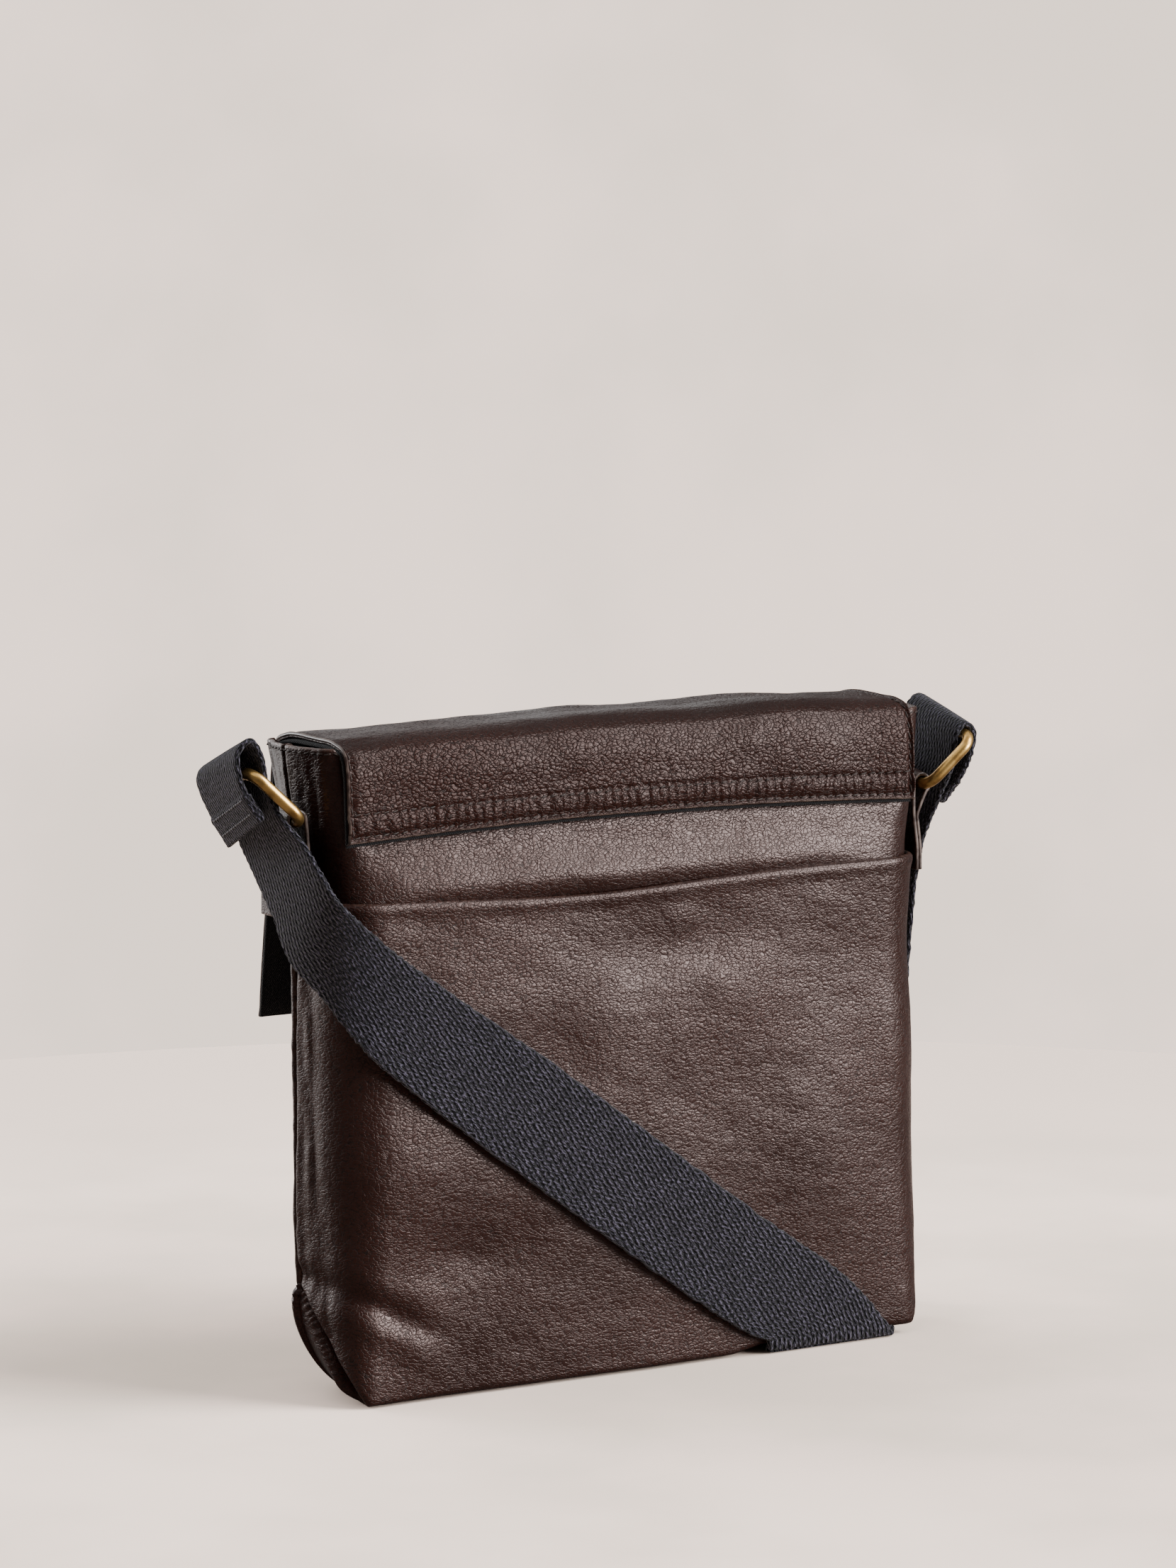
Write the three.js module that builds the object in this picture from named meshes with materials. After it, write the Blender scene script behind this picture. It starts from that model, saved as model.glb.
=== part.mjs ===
// A small flap bag of grained leather with a woven shoulder strap, standing on its base.
// Millimetres, +Z up. The origin is on the floor under the middle of the base. The back of the
// bag, with its slip pocket, faces -Y, and the flap hangs down the front, which faces +Y.
import * as THREE from "three";

// Driving sizes
const RIM_HEIGHT = 243;
const RIM_DIP = 3.9;
const RIM_DIP_HALF_WIDTH = 124;
const RIM_DIP_FADE = 6;
const LEATHER = 2;
const WALL_FOOT = 0.3;
const POCKET_CLEARANCE = 0.6;
const BASE_CLEARANCE = 2.4;
const FLAP_HALF_WIDTH = 124.8;
const FLAP_LEATHER = 1.6;
const LINING_START = 1.9;
const LINING_END = 2.9;
const FLAP_CROWN = 3.4;
const FLAP_CROWN_AT = 35;
const FLAP_ARCH = 3.5;
const POCKET_HEIGHT = 186.5;
const POCKET_SAG = 3.6;
const POCKET_SAG_AT = -25;
const POCKET_SAG_SPREAD = 70;
const POCKET_ROOM = 6;
const POCKET_ROOM_HALF_WIDTH = 72;
const POCKET_ROOM_FLOOR = 120;
const POCKET_ROOM_FADE = { across: 36, below: 40, from: 4, above: 20 };
const LEAF_HEIGHT = 41;
const LEAF_GROOVE = 5;
const LEAF_TUCK = 9;
const LEAF_BEND = 0.25;
const SEAM_GAP = 0.8;
const STRAP_THICKNESS = 2.2;
const STRAP_LIFT = 3.1;
const STRAP_LIFT_HALF_WIDTH = 27;
const STRAP_LIFT_FADE = 22;
const WIRE_RADIUS = 2.2;
const RING_WIDTH = 44.4;
const RING_RISE = 26;
const RING_CORNER = 6;
const RING_LEAN = Math.PI / 4;
const TAB_WIDTH = 35;
const TAB_THICKNESS = 2.8;
const TAB_FOOT = 179;
const TAB_SKIN = 1.4;
const TAB_BORE = 3.05;
const TAB_CLEARANCE = 0.8;
const TAB_NECK = 13;
const TAB_SHOULDER = 9;
const TAB_FLAT = 6;
const TAB_LOOP_TURN = { from: -Math.PI / 8, to: 0.9 * Math.PI };

// Plan sections of the back wall from the floor up: distance of the left and right corners from
// the middle, depth behind the middle plane, corner radius, and how far the side seam stands out
// past the corners.
const BACK_SECTIONS = [
  { z: 0, left: 122.9, right: 124.8, depth: 29.4, corner: 5, seam: 5 },
  { z: 45, left: 126, right: 128.8, depth: 29.4, corner: 11, seam: 3.4 },
  { z: 110, left: 127.4, right: 129.2, depth: 28.6, corner: 12, seam: 2 },
  { z: 186, left: 127.4, right: 129, depth: 27, corner: 11, seam: 2 },
  { z: 210, left: 129.4, right: 130.4, depth: 26, corner: 10, seam: 2.4 },
  { z: RIM_HEIGHT, left: 132, right: 133.2, depth: 23.2, corner: 6, seam: 3.6 },
];

// The same for the front wall, whose lower corners are tucked in towards the middle.
const FRONT_SECTIONS = [
  { z: 0, left: 125.5, right: 127.4, depth: 31, corner: 10, seam: 5, tuckLeft: 24, tuckRight: 10 },
  { z: 45, left: 128.6, right: 131.4, depth: 33, corner: 20, seam: 3.4, tuckLeft: 17, tuckRight: 5 },
  { z: 110, left: 130, right: 131.8, depth: 32.5, corner: 22, seam: 2, tuckLeft: 9, tuckRight: 2 },
  { z: 186, left: 130, right: 131.6, depth: 28, corner: 18, seam: 2, tuckLeft: 4, tuckRight: 1 },
  { z: 210, left: 130, right: 131.2, depth: 25.4, corner: 14, seam: 2, tuckLeft: 2, tuckRight: 0 },
  { z: RIM_HEIGHT, left: 132, right: 133.2, depth: 23.2, corner: 6, seam: 3.6, tuckLeft: 0, tuckRight: 0 },
];

// Soft swells and dents of the back: middle, spread each way, and height out of the wall.
const BACK_DENTS = [
  { x: 5, z: 95, wide: 90, tall: 60, out: 1.6 },
  { x: 25, z: 163, wide: 34, tall: 14, out: -1 },
  { x: -100, z: 88, wide: 22, tall: 26, out: 1.6 },
  { x: -78, z: 52, wide: 26, tall: 12, out: -1.5 },
  { x: -112, z: 26, wide: 12, tall: 14, out: -2.2 },
  { x: 82, z: 70, wide: 30, tall: 34, out: 1.1 },
];

// The end leaves of the base: how far the fold on the floor lies in from the foot of the walls,
// and how far the leaf swells.
const LEAVES = [
  { end: -1, foldInset: 6, swell: 6 },
  { end: 1, foldInset: 6, swell: 8 },
];

// The flap's run over the bag, as the outer face of its side edge. Crown and arch say how much of
// the middle's rise each station takes.
const FLAP_RUN = [
  { y: -29.9, z: 208.5, crown: 0, arch: 1 },
  { y: -29.2, z: 222, crown: 0.1, arch: 0.3 },
  { y: -28.3, z: 235, crown: 0.4, arch: 0 },
  { y: -25.7, z: 241.4, crown: 0.8, arch: 0 },
  { y: -18, z: 244.4, crown: 1, arch: 0 },
  { y: 0, z: 245, crown: 1, arch: 0 },
  { y: 17, z: 244.4, crown: 1, arch: 0 },
  { y: 25.6, z: 241.2, crown: 0.8, arch: 0 },
  { y: 28.6, z: 234, crown: 0.4, arch: 0 },
  { y: 31, z: 212, crown: 0, arch: 0 },
  { y: 35.2, z: 180, crown: 0, arch: 0 },
  { y: 41.5, z: 137, crown: 0, arch: 0 },
];

// The rings: lower bar out from the middle and up from the floor, and how the bars slant along Y:
// slope upwards and swing outwards.
const RINGS = [
  { name: "left", end: -1, out: 138.2, height: 214.6, slope: -0.14, swing: -0.06 },
  { name: "right", end: 1, out: 138.6, height: 214.6, slope: 0.14, swing: 0.1 },
];

// The strap's two edges, hem to hem. Edge a is the one nearer the back of the bag, and edge b
// the one nearer its front.
const STRAP_RUN = [
  { at: "left hem", a: [-153.8, -17, 218.6], b: [-147, 19.4, 205] },
  { at: "left outer leg", a: [-161.4, -17, 230.6], b: [-155.2, 19.4, 218] },
  { at: "left outer turn", a: [-163.4, -16.9, 242.2], b: [-159.9, 19.5, 230] },
  { at: "left top", a: [-158.4, -16.8, 247.4], b: [-155, 19.6, 234.8] },
  { at: "left inner turn", a: [-154, -16.8, 242.2], b: [-151, 19.6, 230] },
  { at: "left inner leg", a: [-151.8, -17.2, 231.2], b: [-148, 19, 218.4] },
  { at: "under the left hem", a: [-148, -18.4, 220.4], b: [-144.2, 16.5, 206.4] },
  { at: "off the ring", a: [-141.6, -24, 210.4], b: [-140.6, 10.5, 192.6] },
  { at: "past the tab", a: [-139.3, -29.8, 202.6], b: [-139.2, 1, 180.5] },
  { at: "on the gusset", a: [-133.8, -34.5, 190.6], b: [-138, -10, 164.4] },
  { at: "round the corner", a: [-125.2, -35.2, 181.6], b: [-131.8, -22, 152.4] },
  { at: "corner passed", a: [-108, -35.4, 166.8], b: [-124, -31.6, 137.8] },
  { at: "upper back", a: [-85, -35.2, 150.4], b: [-108, -34.8, 121.8] },
  { at: "middle of the back", a: [-30, -35.6, 112.2], b: [-53.5, -35.6, 79.4] },
  { at: "lower back", a: [43, -35.6, 58.6], b: [19.5, -35, 26.4] },
  { at: "near the floor", a: [86.4, -34.8, 28.2], b: [45, -34.4, 9.6] },
  { at: "above the fold", a: [105.6, -34.3, 9.4], b: [53.4, -34.3, 5.6] },
  { at: "floor fold", a: [111.6, -33.4, 2], b: [55.6, -33.4, 2] },
  { at: "under the back edge", a: [115.6, -29, 1.1], b: [60, -29, 1.1] },
  { at: "under the base", a: [127, -11, 1.1], b: [90, 5, 1.1] },
  { at: "under the front edge", a: [138, 8, 1.1], b: [109, 35, 1.1] },
  { at: "off the base", a: [145.4, 17, 1.1], b: [116, 44, 1.1] },
  { at: "front turn", a: [150.8, 22.2, 4.4], b: [121.6, 49.4, 4.4] },
  { at: "front rise", a: [152, 22, 14], b: [123, 49.4, 14] },
  { at: "low front corner", a: [151.5, 20, 60], b: [123.4, 48.6, 60] },
  { at: "high front corner", a: [149.5, 11, 130], b: [129, 45.2, 130] },
  { at: "right side", a: [147.4, 0, 180], b: [131.4, 36.4, 182] },
  { at: "under the right hem", a: [148, -11.5, 203], b: [142.8, 27, 207.5] },
  { at: "right inner leg", a: [149.3, -19.6, 218], b: [149.8, 17, 226] },
  { at: "right inner turn", a: [150.8, -20.4, 230], b: [154, 16.5, 238.4] },
  { at: "right top", a: [154.9, -20.6, 234.6], b: [158.6, 16.4, 242.4] },
  { at: "right outer turn", a: [159.4, -20.4, 230.2], b: [163.3, 16.5, 238.4] },
  { at: "right outer leg", a: [156, -19.6, 217.5], b: [157, 17.4, 225] },
  { at: "right hem", a: [153, -12.6, 204.4], b: [149, 25.4, 208.6] },
];
const STRAP_UNDER_BASE = ["floor fold", "off the base"];

// Steps of the facets
const WALL_STEPS = { flat: 7, corner: 3, gusset: 4 };
const WALL_ROWS = 13;
const POCKET_ROWS = 11;
const BASE_LEAF_STEPS = 5;
const BASE_FLAT_STEPS = 14;
const FLAP_STEPS_PER_RUN = 2;
const FLAP_STEPS_ACROSS = 14;
const STRAP_STEPS_PER_RUN = 4;
const STRAP_STEPS_ACROSS = 2;
const RING_CORNER_STEPS = 5;
const WIRE_SIDES = 8;
const TAB_LOOP_STEPS = 8;

const LEATHER_FINISH = { color: 0x3a2520, roughness: 0.45, metalness: 0 };
const LINING_FINISH = { color: 0x17161a, roughness: 0.9, metalness: 0 };
const BRASS_FINISH = { color: 0xb08a4a, roughness: 0.35, metalness: 1 };
const WEBBING_FINISH = { color: 0x23252f, roughness: 0.95, metalness: 0 };

const LEFT_END = -1;
const BACK = -1;
const FRONT = 1;

// Smooth curves through a table's columns, over the height z of its rows.
function columnCurves(rows) {
  const heights = rows.map((row) => row.z);
  const columns = Object.keys(rows[0]).filter((column) => column !== "z");
  const curveOf = (column) =>
    new THREE.CubicInterpolant(heights, rows.map((row) => row[column]), 1, new Float64Array(1));
  return Object.fromEntries(columns.map((column) => [column, curveOf(column)]));
}
const BACK_WALL = columnCurves(BACK_SECTIONS);
const FRONT_WALL = columnCurves(FRONT_SECTIONS);

// A wall's plan section at height z, larger all round by the given growth.
function sectionAt(wall, z, growth) {
  const valueOf = (column) => (wall[column] ? wall[column].evaluate(z)[0] : 0);
  return {
    left: valueOf("left") + growth,
    right: valueOf("right") + growth,
    depth: valueOf("depth") + growth,
    corner: valueOf("corner") + growth,
    seam: valueOf("seam"),
    tuckLeft: valueOf("tuckLeft"),
    tuckRight: valueOf("tuckRight"),
  };
}

// The upright lines of a wall from the left seam to the right one. Share runs from the middle
// of the wall outwards within each stretch: the flat, the corner and the gusset.
function wallColumns() {
  const half = [];
  for (let i = 0; i < WALL_STEPS.flat; i++) half.push({ stretch: "flat", share: i / WALL_STEPS.flat });
  for (let i = 0; i < WALL_STEPS.corner; i++) half.push({ stretch: "corner", share: i / WALL_STEPS.corner });
  for (let i = 0; i <= WALL_STEPS.gusset; i++) half.push({ stretch: "gusset", share: i / WALL_STEPS.gusset });
  const left = half.slice(1).reverse().map((column) => ({ ...column, end: LEFT_END }));
  const right = half.map((column) => ({ ...column, end: -LEFT_END }));
  return [...left, ...right];
}

// The plan point of a section on one upright line: x, and the distance out from the middle plane.
function planPoint(section, { end, stretch, share }) {
  const tuck = end === LEFT_END ? section.tuckLeft : section.tuckRight;
  const side = end === LEFT_END ? section.left : section.right;
  const cornerX = side - tuck - section.corner;
  const cornerY = section.depth - section.corner;
  if (stretch === "flat") return { x: end * cornerX * share, out: section.depth };
  if (stretch === "corner") {
    const turn = (share * Math.PI) / 2;
    const x = end * (cornerX + section.corner * Math.sin(turn));
    return { x, out: cornerY + section.corner * Math.cos(turn) };
  }
  const reach = (tuck + section.seam) * Math.sin((share * Math.PI) / 2);
  const x = end * (side - tuck + reach);
  return { x, out: THREE.MathUtils.lerp(cornerY, SEAM_GAP, share) };
}

// How far the swells and dents stand out of the back at a point.
function dentsAt(x, z) {
  const each = BACK_DENTS.map((dent) => {
    const spread = ((x - dent.x) / dent.wide) ** 2 + ((z - dent.z) / dent.tall) ** 2;
    return dent.out * Math.exp(-spread);
  });
  return each.reduce((sum, out) => sum + out, 0);
}

// How far the back wall lies inside the pocket, more than its clearance, to leave the pocket open.
function pocketRoomAt(x, z) {
  const { smoothstep } = THREE.MathUtils;
  const { across, below, from, above } = POCKET_ROOM_FADE;
  const aside = smoothstep(Math.abs(x), POCKET_ROOM_HALF_WIDTH, POCKET_ROOM_HALF_WIDTH + across);
  const under = smoothstep(z, POCKET_ROOM_FLOOR - below, POCKET_ROOM_FLOOR);
  const over = smoothstep(z, POCKET_HEIGHT + from, POCKET_HEIGHT + above);
  return POCKET_ROOM * (1 - aside) * under * (1 - over);
}

// The height of the pocket's rolled edge, which sags left of the middle.
function pocketEdgeAt(x) {
  return POCKET_HEIGHT - POCKET_SAG * Math.exp(-(((x - POCKET_SAG_AT) / POCKET_SAG_SPREAD) ** 2));
}

// The height of the rim, which dips a little under the flap.
function rimAt(x) {
  const outside = THREE.MathUtils.smoothstep(Math.abs(x), RIM_DIP_HALF_WIDTH, RIM_DIP_HALF_WIDTH + RIM_DIP_FADE);
  return RIM_HEIGHT - RIM_DIP * (1 - outside);
}

// The middle line of the strap on the floor, under the base.
function strapFloorLine() {
  const first = STRAP_RUN.findIndex((row) => row.at === STRAP_UNDER_BASE[0]);
  const last = STRAP_RUN.findIndex((row) => row.at === STRAP_UNDER_BASE[1]);
  return STRAP_RUN.slice(first, last + 1).map(
    ({ a, b }) => new THREE.Vector3((a[0] + b[0]) / 2, (a[1] + b[1]) / 2, 0),
  );
}
const STRAP_FLOOR_LINE = strapFloorLine();

// How far the leather is lifted off the floor by the strap that runs under it.
function liftAt(x, y) {
  const point = new THREE.Vector3(x, y, 0);
  const nearest = new THREE.Vector3();
  let distance = Infinity;
  for (let i = 1; i < STRAP_FLOOR_LINE.length; i++) {
    const piece = new THREE.Line3(STRAP_FLOOR_LINE[i - 1], STRAP_FLOOR_LINE[i]);
    piece.closestPointToPoint(point, true, nearest);
    distance = Math.min(distance, nearest.distanceTo(point));
  }
  const fade = THREE.MathUtils.smoothstep(
    distance,
    STRAP_LIFT_HALF_WIDTH,
    STRAP_LIFT_HALF_WIDTH + STRAP_LIFT_FADE,
  );
  return STRAP_LIFT * (1 - fade);
}

// The lower edge of a wall on one upright line: along the floor, then up the gusset to the seam.
function lowerEdgeAt(wall, side, column, growth) {
  const foot = planPoint(sectionAt(wall, 0, growth), column);
  const rise = column.stretch === "gusset" ? LEAF_HEIGHT * column.share : 0;
  return Math.max(WALL_FOOT, rise, liftAt(foot.x, side * foot.out));
}

// The outer face of a wall as a grid of points, rows going up and columns from left to right.
function wallGrid({ wall, side, growth, steps, topAt, dentAt }) {
  const columns = wallColumns();
  const grid = [];
  for (let i = 0; i <= steps; i++) {
    const line = columns.map((column) => {
      const low = lowerEdgeAt(wall, side, column, growth);
      const lowPoint = planPoint(sectionAt(wall, low, growth), column);
      const z = THREE.MathUtils.lerp(low, topAt(lowPoint.x), i / steps);
      const { x, out } = planPoint(sectionAt(wall, z, growth), column);
      const onFlat = column.stretch === "gusset" ? 0 : 1;
      return new THREE.Vector3(x, side * (out + onFlat * dentAt(x, z)), z);
    });
    grid.push(line);
  }
  return grid;
}

// The unit normals of a grid, from its neighbours along and across.
function gridNormals(grid) {
  const lastRow = grid.length - 1;
  const lastColumn = grid[0].length - 1;
  return grid.map((line, i) =>
    line.map((_, j) => {
      const across = new THREE.Vector3().subVectors(
        line[Math.min(j + 1, lastColumn)],
        line[Math.max(j - 1, 0)],
      );
      const along = new THREE.Vector3().subVectors(
        grid[Math.min(i + 1, lastRow)][j],
        grid[Math.max(i - 1, 0)][j],
      );
      return across.cross(along).normalize();
    }),
  );
}

// A closed sheet between two depths under a grid's outer face, whose normal is columns cross rows.
function sheetGeometry(grid, from, to) {
  const normals = gridNormals(grid);
  const layer = (depth) =>
    grid.map((line, i) => line.map((p, j) => p.clone().addScaledVector(normals[i][j], -depth)));
  return closedGeometry(layer(from), layer(to));
}

// One closed body from an outer and an inner grid of the same size, joined round their edges.
function closedGeometry(outer, inner) {
  const rows = outer.length;
  const columns = outer[0].length;
  const points = [...outer.flat(), ...inner.flat()];
  const outerAt = (i, j) => i * columns + j;
  const innerAt = (i, j) => rows * columns + i * columns + j;
  const index = [];
  const quad = (a, b, c, d) => index.push(a, b, c, a, c, d);
  for (let i = 0; i < rows - 1; i++) {
    for (let j = 0; j < columns - 1; j++) {
      quad(outerAt(i, j), outerAt(i, j + 1), outerAt(i + 1, j + 1), outerAt(i + 1, j));
      quad(innerAt(i, j), innerAt(i + 1, j), innerAt(i + 1, j + 1), innerAt(i, j + 1));
    }
    quad(outerAt(i, 0), outerAt(i + 1, 0), innerAt(i + 1, 0), innerAt(i, 0));
    const j = columns - 1;
    quad(outerAt(i + 1, j), outerAt(i, j), innerAt(i, j), innerAt(i + 1, j));
  }
  for (let j = 0; j < columns - 1; j++) {
    quad(outerAt(0, j + 1), outerAt(0, j), innerAt(0, j), innerAt(0, j + 1));
    const i = rows - 1;
    quad(outerAt(i, j), outerAt(i, j + 1), innerAt(i, j + 1), innerAt(i, j));
  }
  return geometryOf(points, index);
}

function geometryOf(points, index) {
  const geometry = new THREE.BufferGeometry().setFromPoints(points);
  geometry.setIndex(index);
  geometry.computeVertexNormals();
  return geometry;
}

function namedMesh(name, geometry, finish) {
  const mesh = new THREE.Mesh(geometry, new THREE.MeshStandardMaterial(finish));
  mesh.name = name;
  return mesh;
}

// Back wall, with room behind the pocket.
function backPanel() {
  const grid = wallGrid({
    wall: BACK_WALL,
    side: BACK,
    growth: 0,
    steps: WALL_ROWS,
    topAt: rimAt,
    dentAt: (x, z) => (z < POCKET_HEIGHT ? dentsAt(x, z) : 0) - pocketRoomAt(x, z),
  });
  return namedMesh("back_panel", sheetGeometry(grid, 0, LEATHER), LEATHER_FINISH);
}

// Front wall. Its columns run the other way round the bag, so each row is turned about.
function frontPanel() {
  const grid = wallGrid({
    wall: FRONT_WALL,
    side: FRONT,
    growth: 0,
    steps: WALL_ROWS,
    topAt: rimAt,
    dentAt: () => 0,
  });
  const turned = grid.map((line) => [...line].reverse());
  return namedMesh("front_panel", sheetGeometry(turned, 0, LEATHER), LEATHER_FINISH);
}

// Slip pocket: a second layer over the lower back, from seam to seam.
function backPocket() {
  const grid = wallGrid({
    wall: BACK_WALL,
    side: BACK,
    growth: LEATHER + POCKET_CLEARANCE,
    steps: POCKET_ROWS,
    topAt: pocketEdgeAt,
    dentAt: dentsAt,
  });
  return namedMesh("back_pocket", sheetGeometry(grid, 0, LEATHER), LEATHER_FINISH);
}

// The rows of the base from the middle plane to one wall. Share is 1 at the seam and 0 at the
// corner, as on the wall's gusset; the last row lies along the wall.
function baseRows(side) {
  const wall = side === BACK ? BACK_WALL : FRONT_WALL;
  const rows = [];
  for (let i = WALL_STEPS.gusset; i >= 0; i--) {
    const share = i / WALL_STEPS.gusset;
    const column = { end: LEFT_END, stretch: "gusset", share };
    const { out } = planPoint(sectionAt(wall, LEAF_HEIGHT * share, 0), column);
    rows.push({ wall, side, share, out: share === 1 ? 0 : out });
  }
  const along = sectionAt(wall, 0, 0).depth - LEATHER - BASE_CLEARANCE;
  rows.push({ wall, side, share: 0, out: along });
  return rows;
}

// The end of a base row: just under the wall's lower edge on the gusset, or inside the wall's
// corner where the wall stands on the floor.
function leafTop(end, { wall, side, share, out }) {
  if (share > 0) {
    const growth = side === BACK ? LEATHER + POCKET_CLEARANCE : 0;
    const height = LEAF_HEIGHT * share;
    const { x } = planPoint(sectionAt(wall, height, growth), { end, stretch: "gusset", share });
    const tuck = LEAF_TUCK * Math.max(0, 1 - 2 * share);
    return { x: x - end * tuck, z: height - LEAF_GROOVE };
  }
  const foot = sectionAt(wall, 0, 0);
  const cornerX = planPoint(foot, { end, stretch: "flat", share: 1 }).x;
  const radius = foot.corner - LEATHER;
  const reach = Math.sqrt(radius ** 2 - (out - foot.depth + foot.corner) ** 2);
  return { x: cornerX + end * (reach - BASE_CLEARANCE), z: 0 };
}

// One end of a base row, from its upper edge down to the fold on the floor: a curve with one
// control point, which gives the swell.
function leafLine({ end, foldInset, swell }, row) {
  const top = leafTop(end, row);
  const y = row.side * row.out;
  const foot = (wall) => planPoint(sectionAt(wall, 0, 0), { end, stretch: "corner", share: 0 }).x;
  const towardsFront = THREE.MathUtils.inverseLerp(-BACK_SECTIONS[0].depth, FRONT_SECTIONS[0].depth, y);
  const foldX = THREE.MathUtils.lerp(foot(BACK_WALL), foot(FRONT_WALL), towardsFront) - end * foldInset;
  const bend = THREE.MathUtils.lerp(top.x, foldX, LEAF_BEND) + end * swell * (top.z / LEAF_HEIGHT);
  const curve = new THREE.QuadraticBezierCurve(
    new THREE.Vector2(top.x, top.z),
    new THREE.Vector2(bend, 0),
    new THREE.Vector2(foldX, 0),
  );
  return curve
    .getPoints(BASE_LEAF_STEPS)
    .map((p) => new THREE.Vector3(p.x, y, Math.max(p.y, liftAt(p.x, y))));
}

// Base: flat on the floor, turned up at both ends.
function basePanel() {
  const rows = [...baseRows(BACK).reverse(), ...baseRows(FRONT).slice(1)];
  const grid = rows.map((row) => {
    const left = leafLine(LEAVES[0], row);
    const right = leafLine(LEAVES[1], row).reverse();
    const floor = [];
    for (let j = 1; j < BASE_FLAT_STEPS; j++) {
      const x = THREE.MathUtils.lerp(left.at(-1).x, right[0].x, j / BASE_FLAT_STEPS);
      const y = row.side * row.out;
      floor.push(new THREE.Vector3(x, y, liftAt(x, y)));
    }
    return [...left, ...floor, ...right].reverse();
  });
  return namedMesh("base_panel", sheetGeometry(grid, 0, LEATHER), LEATHER_FINISH);
}

// Outer face of the flap: its run carried across the width, higher in the middle.
function flapGrid() {
  const run = new THREE.CatmullRomCurve3(FLAP_RUN.map((row) => new THREE.Vector3(row.y, row.z, 0)));
  const rise = new THREE.CatmullRomCurve3(
    FLAP_RUN.map((row) => new THREE.Vector3(row.crown, row.arch, 0)),
  );
  const steps = (FLAP_RUN.length - 1) * FLAP_STEPS_PER_RUN;
  const grid = [];
  for (let i = 0; i <= steps; i++) {
    const station = run.getPoint(i / steps);
    const share = rise.getPoint(i / steps);
    const line = [];
    for (let j = 0; j <= FLAP_STEPS_ACROSS; j++) {
      const across = (2 * j) / FLAP_STEPS_ACROSS - 1;
      const x = across * FLAP_HALF_WIDTH;
      const crown = 1 - ((x - FLAP_CROWN_AT) / (FLAP_HALF_WIDTH + FLAP_CROWN_AT)) ** 2;
      const arch = 1 - across * across;
      const z = station.y + FLAP_CROWN * crown * share.x + FLAP_ARCH * arch * share.y;
      line.push(new THREE.Vector3(x, station.x, z));
    }
    grid.push(line);
  }
  return grid;
}

function flapPieces() {
  const grid = flapGrid();
  return [
    namedMesh("flap", sheetGeometry(grid, 0, FLAP_LEATHER), LEATHER_FINISH),
    namedMesh("flap_lining", sheetGeometry(grid, LINING_START, LINING_END), LINING_FINISH),
  ];
}

// A rectangular ring with round corners and round wire, in its own plane: x along the bars, y up
// from the lower bar to the upper one.
function ringGeometry() {
  const halfWidth = RING_WIDTH / 2 - RING_CORNER;
  const corners = [
    { x: halfWidth, y: RING_RISE - RING_CORNER, start: 0 },
    { x: -halfWidth, y: RING_RISE - RING_CORNER, start: 0.5 },
    { x: -halfWidth, y: RING_CORNER, start: 1 },
    { x: halfWidth, y: RING_CORNER, start: 1.5 },
  ];
  const stations = corners.flatMap(({ x, y, start }) => {
    const arc = [];
    for (let i = 0; i <= RING_CORNER_STEPS; i++) {
      const turn = Math.PI * (start + (0.5 * i) / RING_CORNER_STEPS);
      arc.push({ x, y, turn });
    }
    return arc;
  });
  const points = [];
  for (const { x, y, turn } of stations) {
    for (let k = 0; k < WIRE_SIDES; k++) {
      const around = (2 * Math.PI * k) / WIRE_SIDES;
      const reach = RING_CORNER + WIRE_RADIUS * Math.cos(around);
      const height = WIRE_RADIUS * Math.sin(around);
      points.push(new THREE.Vector3(x + reach * Math.cos(turn), y + reach * Math.sin(turn), height));
    }
  }
  const index = [];
  for (let i = 0; i < stations.length; i++) {
    const next = (i + 1) % stations.length;
    for (let k = 0; k < WIRE_SIDES; k++) {
      const beside = (k + 1) % WIRE_SIDES;
      const [a, b] = [i * WIRE_SIDES + k, next * WIRE_SIDES + k];
      const [c, d] = [next * WIRE_SIDES + beside, i * WIRE_SIDES + beside];
      index.push(a, b, c, a, c, d);
    }
  }
  return geometryOf(points, index);
}

function ring({ name, end, out, height, slope, swing }) {
  const mesh = namedMesh("ring_" + name, ringGeometry(), BRASS_FINISH);
  const alongBars = new THREE.Vector3(end * swing, 1, slope).normalize();
  const rising = new THREE.Vector3(end * Math.cos(RING_LEAN), 0, Math.sin(RING_LEAN));
  rising.addScaledVector(alongBars, -rising.dot(alongBars)).normalize();
  const facing = new THREE.Vector3().crossVectors(alongBars, rising);
  mesh.setRotationFromMatrix(new THREE.Matrix4().makeBasis(alongBars, rising, facing));
  mesh.position.set(end * out, 0, height);
  return mesh;
}

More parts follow.
